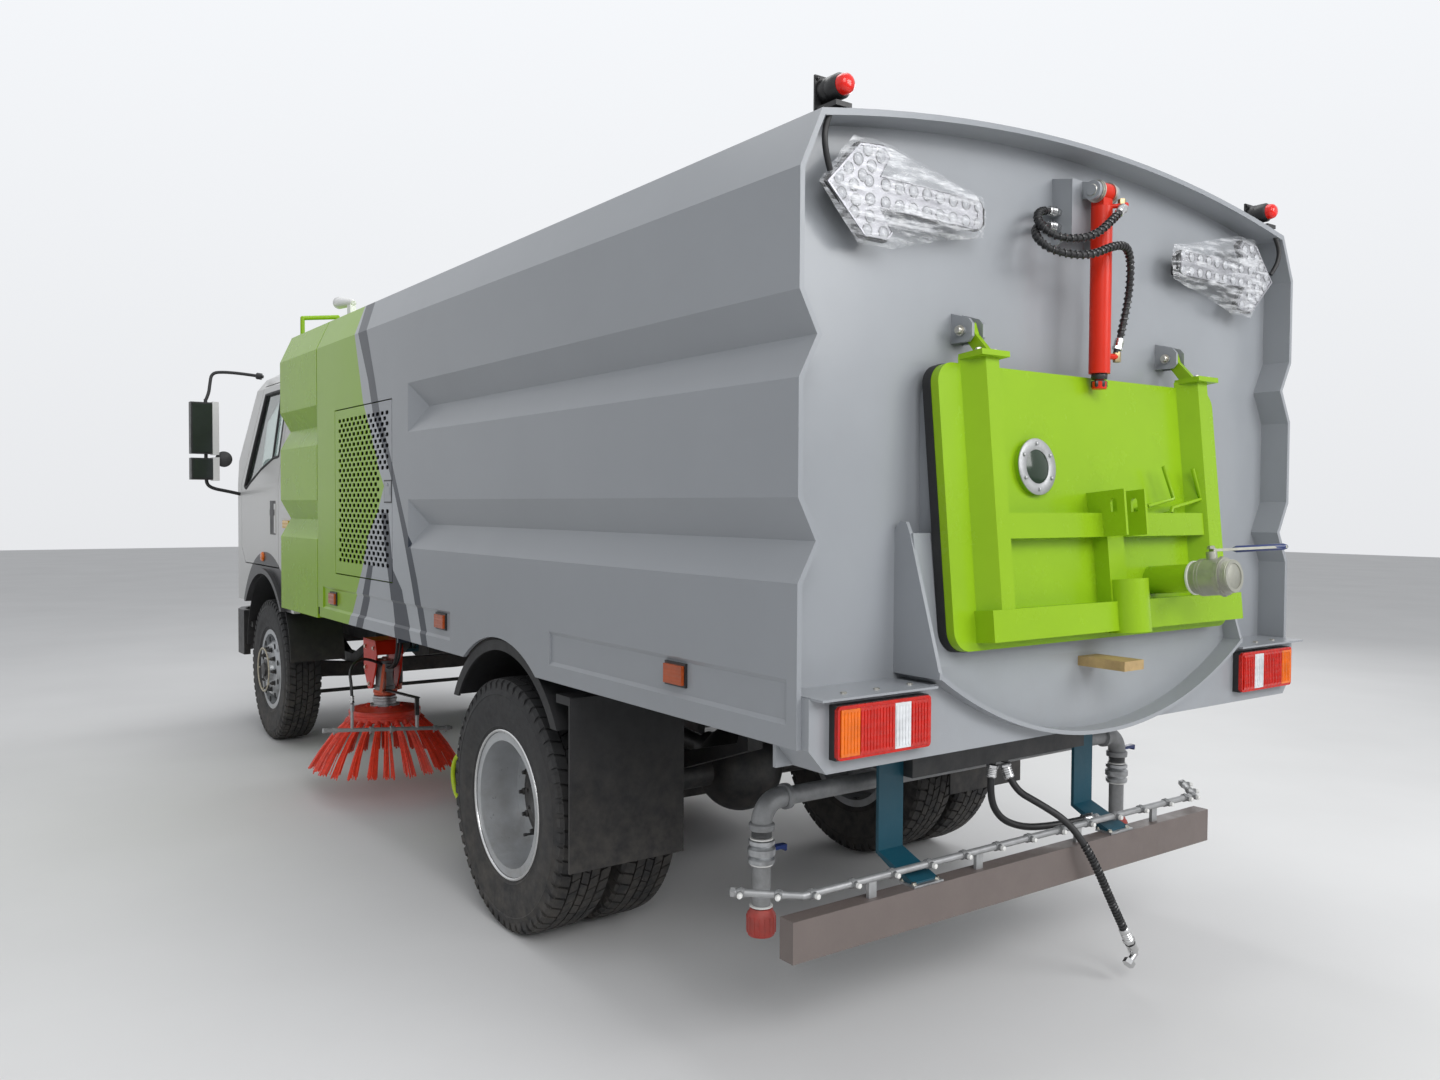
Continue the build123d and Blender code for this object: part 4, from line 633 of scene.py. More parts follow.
def make_hose(name, node, route, radius, body, wrap=None, bend=None, sleeves=(), pieces=()):
    line = route_line(route)
    shape = Shape()
    shape.tube(line, radius, 16)
    tube = shape.piece(name, "hose_rubber", None if bend else body, stands_for=(node,))
    parts = list(pieces)
    if wrap:
        start, stop, pitch, thick = wrap
        winding = Shape()
        winding.tube(spiral(line, radius + 0.0006, pitch, start, stop), thick, 6)
        parts.append(winding.piece(f"{name}_wrap", "hose_wrap", None if bend else body))
    for k, (share, sleeve_length, on) in enumerate(sleeves):
        parts.append(make_sleeve(f"{name}_sleeve_{k + 1}", line, share, radius, sleeve_length, on))
    if bend:
        for item in [tube] + [p for p in parts if p.name.endswith("_wrap")]:
            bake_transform(item)


def make_sleeve(name, line, share, radius, length, body):
    """Crimped sleeve with a nut on a hose end; the sleeve tapers towards the hose."""
    spot, way = spot_at(line, share)
    if share > 0.5:
        way = -way
    profile = [(0, 0), (radius * 1.45, 0)]
    for k in range(4):
        at = length * (0.2 + 0.15 * k)
        profile += [(radius * 1.5, at), (radius * 1.36, at + length * 0.03),
            (radius * 1.5, at + length * 0.06)]
    profile += [(radius * 1.5, length * 0.9), (radius * 1.12, length), (0, length)]
    shape = Shape()
    shape.lathe(spot, way, profile, 20)
    shape.lathe(spot, way, [(0, -length * 0.1), (radius * 1.6, -length * 0.1),
        (radius * 1.75, -length * 0.06), (radius * 1.75, length * 0.16), (radius * 1.5, length * 0.2),
        (0, length * 0.2)], 6)
    return shape.piece(name, "bright_steel", body)


make_hose("rear_hose_tube", "rear_hose", rear_route, 0.012, "chassis",
    wrap=(0.46, 0.93, 0.013, 0.0030), sleeves=((0.0, 0.05, "chassis"), (0.985, 0.06, "chassis")),
    pieces=[nodes["rear_hose_elbow"]])
make_hose("loop_hose_tube", "loop_hose", loop_route, 0.012, "chassis",
    sleeves=((0.0, 0.04, "chassis"), (0.985, 0.04, "chassis")))
make_hose("cylinder_hose_top_tube", "cylinder_hose_top", top_route, 0.0095,
    "door_cylinder", wrap=(0.09, 0.90, 0.017, 0.0036), bend=cylinder_bend,
    sleeves=((0.0, 0.035, "hopper"), (0.985, 0.035, "door_cylinder")))
make_hose("cylinder_hose_bottom_tube", "cylinder_hose_bottom", bottom_route, 0.0095,
    "door_cylinder", wrap=(0.06, 0.94, 0.017, 0.0036), bend=cylinder_bend,
    sleeves=((0.0, 0.035, "hopper"), (0.985, 0.035, "door_cylinder")))


# Access door with its rows of slots, and the latch

slot_rows = 29
slot_pitch_z = 0.0254
slot_pitch_x = 0.0645
slot_half = 0.0225
slot_radius = 0.0094
first_row_z = 1.353
leaf_x = (1.104, 1.954)
leaf_z = (1.281, 2.119)
leaf_face = 1.1756
leaf_wall = 0.004


def slotted_cell(shape, x, z):
    """One cell of the sheet around a slot: front, back and the wall of the slot."""
    hole = []
    for centre, first in ((x + slot_half - slot_radius, -90), (x - slot_half + slot_radius, 90)):
        for k in range(5):
            turn = radians(first + 45 * k)
            hole.append((centre + slot_radius * cos(turn), z + slot_radius * sin(turn)))
    side = slot_pitch_x / 2
    rise = slot_pitch_z / 2
    right = [(x + 0.012, z - rise), (x + side, z - rise), (x + side, z), (x + side, z + rise),
        (x + 0.012, z + rise)]
    border = right + [(2 * x - a, 2 * z - b) for a, b in right]
    back = leaf_face - leaf_wall
    shape.walls([shape.ring((a, y, b) for a, b in loop)
        for y, loop in ((leaf_face, border), (leaf_face, hole), (back, hole), (back, border))])


def plain_part(shape, x0, x1, z0, z1):
    if x1 - x0 > 1e-5 and z1 - z0 > 1e-5:
        for y in (leaf_face, leaf_face - leaf_wall):
            shape.bm.faces.new(shape.ring(((x0, y, z0), (x1, y, z0), (x1, y, z1), (x0, y, z1))))


@both_sides("access_sheet", "body_paint", "{}_access_door", "access_door_{}", smooth_under=30)
def draw_access_sheet(shape):
    low = first_row_z - slot_pitch_z / 2
    plain_part(shape, *leaf_x, leaf_z[0], low)
    for row in range(slot_rows):
        z = first_row_z + slot_pitch_z * row
        first_x = 1.168 + (row % 2) * slot_pitch_x / 2
        count = 12 - row % 2
        if 1.62 < z < 1.80:
            first_x += 2 * slot_pitch_x
            count -= 2
        for k in range(count):
            slotted_cell(shape, first_x + slot_pitch_x * k, z)
        plain_part(shape, leaf_x[0], first_x - slot_pitch_x / 2, z - slot_pitch_z / 2, z + slot_pitch_z / 2)
        plain_part(shape, first_x + slot_pitch_x * (count - 0.5), leaf_x[1], z - slot_pitch_z / 2,
            z + slot_pitch_z / 2)
    plain_part(shape, *leaf_x, low + slot_rows * slot_pitch_z, leaf_z[1])
    for x0, x1, z0, z1 in ((leaf_x[0], leaf_x[0] + 0.003, *leaf_z), (leaf_x[1] - 0.003, leaf_x[1], *leaf_z),
            (*leaf_x, leaf_z[0], leaf_z[0] + 0.003), (*leaf_x, leaf_z[1] - 0.003, leaf_z[1])):
        shape.box(x0, x1, leaf_face - 0.015, leaf_face - 0.0001, z0, z1)


# Dark screen behind the slots: its slats stand for a filter mesh, and its near-black colour is painted shade
# of the dark room behind the door
@both_sides("access_screen", "hollow_dark", "{}_access_door", smooth_under=30)
def draw_access_screen(shape):
    shape.box(leaf_x[0] + 0.004, leaf_x[1] - 0.004, leaf_face - 0.015, leaf_face - 0.013, leaf_z[0] + 0.004,
        leaf_z[1] - 0.004)
    for k in range(60):
        x = leaf_x[0] + 0.02 + 0.0137 * k
        shape.box(x, x + 0.003, leaf_face - 0.0135, leaf_face - 0.0115, leaf_z[0] + 0.03, leaf_z[1] - 0.03)


@both_sides("latch_edge", "trim_black", "{}_access_door", smooth_under=30)
def draw_latch_edge(shape):
    shape.box(1.105, 1.207, leaf_face - 0.002, leaf_face + 0.0016, 1.645, 1.752)
    shape.bevel(0.0012, 1)


@both_sides("latch", "grey_paint", "{}_access_door", smooth_under=30)
def draw_latch(shape):
    shape.box(1.111, 1.200, leaf_face - 0.002, leaf_face + 0.0030, 1.652, 1.745)
    shape.box(1.120, 1.186, leaf_face, leaf_face + 0.0055, 1.682, 1.716)
    shape.bevel(0.0022, 2)
    shape.lathe((1.153, leaf_face + 0.002, 1.730), left, [(0.0075, 0), (0.0075, 0.004), (0.005, 0.005),
        (0, 0.005)])


# Side marker lamps

marker_spots = [(2.005, 1.143), (0.520, 1.152), (-1.260, 1.153)]
marker_face = 1.1686
frames = Shape()
lenses = Shape()
for marker_x, marker_z in marker_spots:
    frames.box(marker_x - 0.054, marker_x + 0.054, marker_face - 0.003, marker_face + 0.008,
        marker_z - 0.035, marker_z + 0.035)
    lenses.box(marker_x - 0.047, marker_x + 0.047, marker_face, marker_face + 0.018, marker_z - 0.028,
        marker_z + 0.028)
frames.bevel(0.003, 2).mirror().piece("marker_frames", "trim_black", "hopper")
lenses.bevel(0.007, 3).mirror().piece("marker_lenses", "marker_lens", "hopper")


# Tail lamps

lamp_low = 1.003
lamp_high = 1.140
lamp_rear_x = -1.878
housing = Shape()
housing.box(-1.866, -1.840, 0.766, 1.094, lamp_low - 0.001, lamp_high + 0.001)
housing.bevel(0.006, 2).mirror().piece("tail_lamp_housings", "trim_black", "hopper",
    stands_for=("tail_lamps",))
bezel = Shape()
bezel_outline = [(y + 0.93, z) for y, z in rounded_outline(0.165, lamp_low, lamp_high, 0.012)]
bezel_inner = [(y + 0.93, z) for y, z in rounded_outline(0.157, lamp_low + 0.009, lamp_high - 0.009, 0.005)]
band(bezel, bezel_outline, bezel_inner, -1.862, -1.8745)
bezel.mirror().piece("tail_lamp_bezels", "red_lens", "hopper")
for name, material, edges in (("amber", "amber_lens", ((1.022, 1.087),)),
        ("clear", "clear_lens", ((0.842, 0.900),)), ("red", "red_lens", ((0.900, 1.022), (0.773, 0.842)))):
    lens = Shape()
    for y0, y1 in edges:
        lens.box(lamp_rear_x, -1.864, y0 + 0.0008, y1 - 0.0008, lamp_low + 0.009, lamp_high - 0.009)
        for k in range(int((y1 - y0) / 0.011)):
            y = y0 + 0.006 + 0.011 * k
            lens.box(lamp_rear_x - 0.0016, lamp_rear_x, y, y + 0.004, lamp_low + 0.016, lamp_high - 0.016)
    lens.bevel(0.0012, 1).mirror().piece(f"tail_lamp_{name}_lenses", material, "hopper")
visor_bolts = Shape()
for x, y in ((-1.831, 1.038), (-1.832, 0.924), (-1.822, 0.793)):
    visor_bolts.bolt((x, y, 1.160), up, 0.010)
visor_bolts.mirror().piece("visor_bolts", "zinc", "hopper")


# Arrow lamps

arrow_outline = [(1.076, 2.462), (0.960, 2.582), (0.870, 2.590), (0.848, 2.568), (0.884, 2.508),
    (0.500, 2.505), (0.476, 2.484), (0.476, 2.440), (0.500, 2.420), (0.884, 2.422), (0.838, 2.358),
    (0.857, 2.338), (0.941, 2.338)]
arrow_middle = (0.90, 2.463)


def drawn_in(outline, middle, share):
    return [(middle[0] + (a - middle[0]) * share, middle[1] + (b - middle[1]) * share) for a, b in outline]


def between_spots(start, stop, count):
    return [(start[0] + (stop[0] - start[0]) * k / (count - 1),
        start[1] + (stop[1] - start[1]) * k / (count - 1)) for k in range(count)]


led_spots = (between_spots((0.505, 2.486), (0.865, 2.486), 8)
    + between_spots((0.505, 2.439), (0.865, 2.439), 8)
    + between_spots((1.030, 2.478), (0.930, 2.566), 4)
    + between_spots((0.978, 2.468), (0.885, 2.556), 4)
    + between_spots((1.020, 2.440), (0.930, 2.358), 3)
    + between_spots((0.970, 2.430), (0.872, 2.360), 3)
    + [(0.925, 2.487), (0.920, 2.440)])
arrow_back = Shape()
arrow_back.prism(arrow_outline, "x", -1.766, -1.784)
arrow_back.bevel(0.003, 1)
for stem_y in (0.560, 0.860):
    arrow_back.box(-1.768, panel_x, stem_y, stem_y + 0.04, 2.440, 2.480)
arrow_back.mirror().piece("arrow_lamp_backs", "trim_black", "hopper", stands_for=("arrow_lamps",))
arrow_edge = Shape()
band(arrow_edge, drawn_in(arrow_outline, arrow_middle, 0.965), drawn_in(arrow_outline, arrow_middle, 0.92),
    -1.782, -1.790)
arrow_edge.mirror().piece("arrow_lamp_edges", "lamp_silver", "hopper")
arrow_plate = Shape()
arrow_plate.prism(drawn_in(arrow_outline, arrow_middle, 0.925), "x", -1.782, -1.787)
arrow_plate.mirror().piece("arrow_lamp_plates", "lamp_silver", "hopper")
leds = Shape()
cups = Shape()
for y, z in led_spots:
    leds.lathe((-1.787, y, z), rear, [(0.0145, 0), (0.0145, 0.0015), (0.011, 0.0035), (0.006, 0.0048),
        (0, 0.0052)], 18)
    cups.lathe((-1.786, y, z), rear, [(0.0150, 0), (0.0172, 0), (0.0172, 0.0032), (0.0150, 0.0032),
        (0.0150, 0)], 18)
leds.mirror().piece("arrow_lamp_lenses", "led_lens", "hopper")
cups.mirror().piece("arrow_lamp_cups", "pipe_grey", "hopper")
film_outline = [(1.088, 2.462), (0.968, 2.602), (0.862, 2.604), (0.640, 2.552), (0.470, 2.520),
    (0.458, 2.462), (0.470, 2.405), (0.660, 2.370), (0.830, 2.326), (0.952, 2.324)]


@both_sides("arrow_film", "clear_film", "hopper", smooth_under=25)
def draw_film(shape, rings=11, around=6):
    """Creased sheet over the arrow, drawn as rings around its middle."""
    middle = Vector((0.80, 2.463))
    border = []
    for i, one in enumerate(film_outline):
        two = film_outline[(i + 1) % len(film_outline)]
        border += [Vector(one).lerp(Vector(two), k / around) for k in range(around)]
    centre = shape.bm.verts.new((-1.801, *middle))
    last = None
    for ring in range(1, rings + 1):
        share = ring / rings
        verts = []
        for spot in border:
            at = middle.lerp(spot, share)
            drop = 0.024 * max(0.0, (share - 0.82) / 0.18)
            verts.append(shape.bm.verts.new((-1.799 - random.uniform(-0.002, 0.003) + drop,
                at.x + random.uniform(-0.002, 0.002), at.y + random.uniform(-0.002, 0.002))))
        for i, vert in enumerate(verts):
            follow = verts[(i + 1) % len(verts)]
            if last is None:
                shape.bm.faces.new((centre, vert, follow))
            else:
                shape.bm.faces.new((last[i], vert, follow, last[(i + 1) % len(verts)]))
        last = verts


lamp_cable = Shape()
lamp_cable.tube(route_line([(-1.795, 1.067, 2.630), (-1.802, 1.092, 2.590), (-1.800, 1.088, 2.530),
    (-1.788, 1.060, 2.490)]), 0.0078, 10)
lamp_cable.mirror().piece("arrow_lamp_cables", "hose_rubber", "hopper")


# Beacons

beacon_y = 1.025
beacon_z = 2.709
beacon = Shape()
beacon.box(-1.728, -1.722, beacon_y - 0.036, beacon_y + 0.036, 2.636, 2.748)
beacon.bevel(0.004, 2)
beacon.box(-1.805, -1.722, beacon_y - 0.022, beacon_y + 0.032, 2.651, 2.664)
beacon.lathe((-1.724, beacon_y, beacon_z), rear, [(0.030, 0), (0.033, 0.004), (0.033, 0.026),
    (0.031, 0.030), (0.033, 0.034), (0.033, 0.064), (0.028, 0.071), (0, 0.071)], 32)
for y in (beacon_y - 0.028, beacon_y + 0.028):
    beacon.bolt((-1.729, y, 2.740), rear, 0.006)
beacon.mirror().piece("beacon_bodies", "trim_black", "hopper", stands_for=("beacons",))
dome = Shape()
dome.lathe((-1.794, beacon_y, beacon_z), rear, [(0.0265, 0), (0.0265, 0.010), (0.024, 0.020),
    (0.017, 0.0265), (0.008, 0.0285), (0, 0.0288)], 32)
dome.mirror().piece("beacon_domes", "beacon_lens", "hopper")


# Door cylinder: washers on its pins, fittings on its ports

pin_top = (-1.830, 2.600)
stack = Shape()
for sign in (-1, 1):
    stack.lathe((pin_top[0], sign * 0.024, pin_top[1]), (0, sign, 0),
        [(0.034, 0), (0.034, 0.004), (0.029, 0.005), (0.029, 0.008), (0.032, 0.009), (0.032, 0.0115),
        (0.020, 0.012), (0.020, 0.024), (0.017, 0.027), (0, 0.027)], 28)
stack.piece("cylinder_pin_washers", "zinc", "door_cylinder")
rod_end = Shape()
rod_end.lathe((-1.830, 0, 2.052), (0, 0, -1), [(0.022, 0), (0.024, 0.004), (0.024, 0.016), (0.022, 0.020),
    (0, 0.020)], 28)
rod_end.lathe((-1.830, 0, 2.028), (0, 0, -1), [(0, 0), (0.022, 0), (0.0245, 0.003), (0.0245, 0.018),
    (0.020, 0.024), (0, 0.024)], 6)
rod_end.piece("cylinder_rod_end", "trim_black", "door_cylinder")
ports = Shape()
for x, y, z in ((-1.868, -0.046, 2.563), (-1.838, -0.076, 2.106)):
    ports.lathe((x, y, z), up, [(0, -0.016), (0.0115, -0.016), (0.0125, -0.012), (0.0125, 0.012),
        (0.0115, 0.016), (0, 0.016)], 6)
ports.piece("cylinder_port_bolts", "brass", "door_cylinder")
panel_ports = Shape()
for z in (2.545, 2.500):
    panel_ports.lathe((-1.737, 0.060, z), left, [(0.010, 0), (0.010, 0.016), (0.013, 0.018), (0.013, 0.034),
        (0.010, 0.038), (0, 0.038)], 6)
    panel_ports.box(-1.737, panel_x, 0.064, 0.080, z - 0.010, z + 0.010)
panel_ports.piece("panel_port_fittings", "bright_steel", "hopper")


# Rear door

seal = Shape()
band(seal, rounded_outline(0.6765, 1.2375, 2.0425, 0.0625), rounded_outline(0.655, 1.259, 2.021, 0.041),
    door_face + 0.028, door_face + 0.058)
seal.lean().piece("door_seal", "flap_rubber", "rear_door")
pin_discs = Shape()
for y in (-0.538, -0.462, 0.462, 0.538):
    sign = 1 if y in (0.538, -0.462) else -1
    pin_discs.lathe((-1.755, y, 2.140), (0, sign, 0), [(0.0155, 0), (0.0155, 0.004), (0.012, 0.0045),
        (0.012, 0.012), (0.009, 0.015), (0, 0.015)], 24)
pin_discs.piece("door_hinge_pins", "zinc", "hopper")
shelf_bolts = Shape()
for y in (-0.565, -0.500, 0.500, 0.565):
    shelf_bolts.bolt((door_face - 0.055, y, 2.0665), up, 0.010)
shelf_bolts.lean().piece("door_shelf_bolts", "zinc", "rear_door")
porthole_y = 0.300
porthole_z = 1.755
porthole = Shape()
porthole.lathe((door_face - 0.015, porthole_y, porthole_z), rear, [(0.050, 0), (0.083, 0), (0.083, 0.003),
    (0.080, 0.005), (0.054, 0.005), (0.050, 0.003), (0.050, 0)], 48)
for turn in turns(6, radians(30)):
    porthole.bolt(spot_round((door_face - 0.020, porthole_y, porthole_z), 0.067, turn, "yz"), rear, 0.0065)
porthole.lean().piece("porthole_ring", "dull_steel", "rear_door")
# The pane is opaque and dark: painted shade of the hopper's inside behind the glass
pane = Shape()
pane.lathe((door_face - 0.016, porthole_y, porthole_z), rear, [(0.049, -0.006), (0.0505, 0), (0.040, 0.003),
    (0, 0.0045)], 40)
pane.lean().piece("porthole_pane", "porthole_glass_shade", "rear_door")
rods = Shape()
for bends in ([(-0.187, 1.639), (-0.331, 1.663), (-0.288, 1.767)], [(-0.313, 1.619), (-0.319, 1.634),
        (-0.484, 1.663), (-0.452, 1.763)]):
    rods.tube([(-1.840, y, z) for y, z in bends], 0.0065, 10)
rods.rod((-1.840, -0.187, 1.639), (-1.798, -0.187, 1.632), 0.0065)
rods.rod((-1.840, -0.313, 1.619), (-1.798, -0.313, 1.612), 0.0065)
rods.lean().piece("door_rods", "green_paint", "rear_door")
# Dark discs in the door's two small holes: painted shade inside them
small_holes = Shape()
for y, z in ((-0.093, 1.392), (-0.093, 1.285)):
    small_holes.lathe((door_face - 0.0605, y, z), rear, [(0.008, -0.010), (0.008, 0.0006), (0, 0.0006)], 16)
small_holes.lean().piece("door_small_holes", "hollow_dark", "rear_door")


# Drain valve on the door's stub

stub_y = -0.245
stub_z = 1.407
stub_end = door_face - 0.150
ring = Shape()
ring.lathe((stub_end + 0.004, stub_y, stub_z), rear, [(0.044, 0), (0.0505, 0.001), (0.0525, 0.004),
    (0.0525, 0.009), (0.050, 0.011), (0.044, 0.011)], 40)
ring.lean().piece("drain_valve_ring", "white_plastic", "rear_door")
valve = Shape()
for at in (0.026, 0.036, 0.092, 0.100):
    valve.lathe((stub_end - at, stub_y, stub_z), rear, [(0.050, 0), (0.0575, 0.001), (0.0575, 0.005),
        (0.050, 0.006)], 40)
for k in range(5):
    valve.lathe((stub_end - 0.105 - 0.005 * k, stub_y, stub_z), rear,
        [(0.048, 0), (0.0505, 0.0015), (0.048, 0.003)], 40)
valve.lathe((stub_end - 0.088, stub_y, stub_z), rear, [(0.052, 0), (0.061, 0.001), (0.061, 0.012),
    (0.052, 0.013)], 8)
valve.bolt((stub_end - 0.062, stub_y, stub_z + 0.085), up, 0.013)
valve.lean().piece("drain_valve_bands", "valve_nickel", "rear_door")
grip = Shape()
way = Vector((-0.5, -0.866, 0))
start = Vector((stub_end - 0.062, stub_y, stub_z + 0.081))
grip.tube([start + way * d for d in (0.070, 0.080, 0.150, 0.232, 0.244)],
    [0.006, 0.0105, 0.010, 0.0105, 0.006], 14)
grip.lean().piece("drain_valve_grip", "blue_grip", "rear_door")
plank = Shape()
plank.box(-1.985, -1.800, -0.022, 0.073, 1.158, 1.187)
plank.bevel(0.004, 2)
plank.piece("sill_plank", "plank_wood", "hopper")


# Drain pipes with their valves and caps

drain_x = -1.300
drain_y = 0.886
drain_z = 0.750
drain = Shape()
drain.rod((drain_x, -0.815, drain_z), (drain_x, 0.815, drain_z), 0.028, sides=28)
for sign in (-1, 1):
    drain.rod((drain_x, sign * drain_y, 0.600), (drain_x, sign * drain_y, 0.420), 0.028, sides=28)
    y0, y1 = sorted((sign * 0.37, sign * 0.42))
    drain.box(drain_x - 0.020, drain_x + 0.020, y0, y1, drain_z + 0.010, 0.792)
drain.piece("drain_pipes_run", "pipe_grey", "chassis", stands_for=("drain_pipes",))
elbow = Shape()
bend = [spot_round((drain_x, 0.818, drain_z - 0.068), 0.068, radians(90 * k / 8), "zy") for k in range(9)]
elbow.tube([(drain_x, 0.790, drain_z), (drain_x, 0.806, drain_z), *bend, (drain_x, drain_y, 0.664)], 0.0325,
    28)
elbow.lathe((drain_x, 0.784, drain_z), left, [(0.030, 0), (0.039, 0.002), (0.040, 0.018), (0.036, 0.022)], 28)
elbow.lathe((drain_x, drain_y, 0.684), down, [(0.036, 0), (0.040, 0.004), (0.039, 0.022), (0.030, 0.024)], 28)
for k in range(5):
    elbow.lathe((drain_x, drain_y, 0.660 - 0.0045 * k), down, [(0.028, 0), (0.0315, 0.0015),
        (0.028, 0.003)], 28)
elbow.mirror().piece("drain_elbows", "pipe_grey", "chassis")
collars = Shape()
for z in (0.6385, 0.5605, 0.4330):
    collars.lathe((drain_x, drain_y, z), down, [(0.026, 0), (0.0355, 0.0005), (0.0362, 0.002),
        (0.0355, 0.0045), (0.026, 0.005)], 28)
collars.mirror().piece("drain_rings", "white_plastic", "chassis")
valve_body = Shape()
valve_body.lathe((drain_x, drain_y, 0.632), down, [(0.028, 0), (0.040, 0.001), (0.041, 0.012),
    (0.034, 0.018), (0.043, 0.026), (0.043, 0.044), (0.034, 0.052), (0.041, 0.058), (0.040, 0.070),
    (0.028, 0.0715)], 24)
valve_body.mirror()
valve_body.rod((drain_x, drain_y - 0.030, 0.598), (drain_x, drain_y - 0.048, 0.598), 0.009)
valve_body.rod((drain_x, -drain_y - 0.020, 0.690), (drain_x, -drain_y - 0.046, 0.690), 0.009)
valve_body.piece("drain_valve_bodies", "galvanised", "chassis")
drain_grips = Shape()
drain_grips.box(drain_x - 0.011, drain_x + 0.011, drain_y - 0.090, drain_y - 0.044, 0.592, 0.604)
drain_grips.box(drain_x - 0.009, drain_x + 0.009, drain_y - 0.092, drain_y - 0.084, 0.584, 0.604)
drain_grips.box(drain_x - 0.011, drain_x + 0.011, -drain_y - 0.104, -drain_y - 0.042, 0.684, 0.696)
drain_grips.box(drain_x - 0.009, drain_x + 0.009, -drain_y - 0.106, -drain_y - 0.098, 0.676, 0.696)
drain_grips.bevel(0.0025, 2).piece("drain_grips", "blue_grip", "chassis")
caps = Shape()
caps.lathe((drain_x, drain_y, 0.4255), down, [(0.028, 0), (0.034, 0.001), (0.037, 0.010), (0.043, 0.018),
    (0.0435, 0.074), (0.040, 0.083), (0.028, 0.0855), (0, 0.0855)], 32)
for turn in turns(16):
    spot = spot_round((drain_x, drain_y, 0.352), 0.0435, turn, "xy")
    caps.rod(spot, spot + Vector((0, 0, 0.050)), 0.0022, sides=6)
caps.mirror().piece("drain_caps", "red_cap", "chassis")


# Spray bar: clamped nozzles, and the plates on the beam

spray_x = -1.584
spray_z = 0.555
nozzles = Shape()
tips = Shape()
nozzle_spots = [((spray_x, y, spray_z), left) for y in (0.930, 0.775, 0.620, 0.465, 0.310, 0.155, 0.0,
    -0.155, -0.310, -0.465, -0.620, -0.775, -0.900, -0.945)]
for sign in (-1, 1):
    for share in (0.35, 0.90):
        nozzle_spots.append(((spray_x + 0.134 * share, sign * (0.960 + 0.140 * share), spray_z),
            (0.134, sign * 0.140, 0)))
for spot, way in nozzle_spots:
    along_bar = Vector(way).normalized()
    spot = Vector(spot)
    out = (Vector(rear) - along_bar * Vector(rear).dot(along_bar)).normalized()
    nozzles.lathe(spot - along_bar * 0.011, along_bar, [(0.0115, 0), (0.0145, 0.002), (0.0145, 0.020),
        (0.0115, 0.022)], 16)
    nozzles.lathe(spot, out, [(0.009, 0.010), (0.010, 0.012), (0.010, 0.022), (0.006, 0.024), (0, 0.024)], 6)
    nozzles.bolt(spot + Vector((0, 0, 0.0125)), up, 0.0045)
    tips.lathe(spot, out, [(0.007, 0.022), (0.0085, 0.024), (0.0075, 0.033), (0.003, 0.036), (0, 0.036)], 14)
nozzles.piece("spray_clamps", "pipe_grey", "chassis")
tips.piece("spray_tips", "white_plastic", "chassis")
bar_ends = Shape()
for sign in (-1, 1):
    bar_ends.lathe((-1.4535, sign * 1.0965, spray_z), (0.134, sign * 0.140, 0),
        [(0.011, 0), (0.0145, 0.001), (0.0145, 0.014), (0.010, 0.017), (0, 0.017)], 6)
bar_ends.piece("spray_bar_caps", "dull_steel", "chassis")
beam_plates = Shape()
for y in (0.4825, -0.4825):
    beam_plates.box(-1.606, -1.540, y - 0.062, y + 0.062, 0.4992, 0.5055)
beam_plates.bevel(0.0015, 1)
beam_plates.piece("beam_plates", "galvanised", "chassis")
beam_nuts = Shape()
for y in (0.4825, -0.4825):
    for dx, dy in ((-0.052, -0.048), (-0.052, 0.048), (-0.005, -0.048), (-0.005, 0.048)):
        beam_nuts.bolt((-1.548 + dx + 0.010, y + dy, 0.5055), up, 0.0085)
beam_nuts.piece("beam_nuts", "zinc", "chassis")


# Tyres with their tread

lug_count = 56
nut_circle = 0.1425
groove_radius = 0.4735
shoulder_radius = 0.4815
tread_radius = tyre_radius - 0.0006
tread_rows = [(-0.101, -0.062, 0.0, 0.82), (-0.055, -0.022, 0.5, 0.90), (-0.015, 0.015, 0.0, 0.90),
    (0.022, 0.055, 0.5, 0.90), (0.062, 0.101, 0.0, 0.82)]
side_profile = [(0.262, 0.070), (0.2575, 0.086), (0.268, 0.097), (0.292, 0.103), (0.300, 0.109),
    (0.306, 0.107), (0.345, 0.1145), (0.385, 0.1175), (0.420, 0.1155), (0.424, 0.1178), (0.430, 0.1150),
    (0.452, 0.1085), (0.466, 0.1035), (groove_radius, 0.0985)]


def ring_block(shape, centre, sides, ends, slant):
    """Block on a wheel between two sides (y, low radius, high radius) and two turns."""
    shape.block([spot_round((centre[0], centre[1] + y, centre[2]), radius, turn + lag)
        for (y, low, high), lag in zip(sides, (-slant, slant)) for turn in ends for radius in (low, high)])


def draw_tyre(shape, centre):
    profile = [(r, -h) for r, h in side_profile] + [(r, h) for r, h in reversed(side_profile)]
    shape.lathe(centre, left, profile + profile[:1], 112)
    step = 2 * pi / lug_count
    for row, (y0, y1, lag, share) in enumerate(tread_rows):
        edge0 = shoulder_radius if row == 0 else tread_radius
        edge1 = shoulder_radius if row == 4 else tread_radius
        slant = (0.012, 0.016, -0.016, 0.016, -0.012)[row]
        for k in range(lug_count):
            first = (k + lag) * step
            ring_block(shape, centre, ((y0, groove_radius - 0.004, edge0),
                (y1, groove_radius - 0.004, edge1)), (first, first + step * share), slant)
    for sign in (-1, 1):
        for k in range(lug_count):
            first = k * step
            ring_block(shape, centre,
                ((sign * 0.0985, 0.446, shoulder_radius), (sign * 0.1120, 0.440, 0.468)),
                (first, first + step * 0.62), 0.0)


def wheel_bolts(shape, centre, radius, count, size, first=0.0):
    for turn in turns(count, first):
        shape.bolt(spot_round(centre, radius, turn), left, size)


def draw_nuts(shape, centre, size, stud):
    """The ten wheel nuts with their studs."""
    wheel_bolts(shape, centre, nut_circle, 10, size)
    for turn in turns(10):
        shape.lathe(spot_round(centre, nut_circle, turn), left, stud, 6)


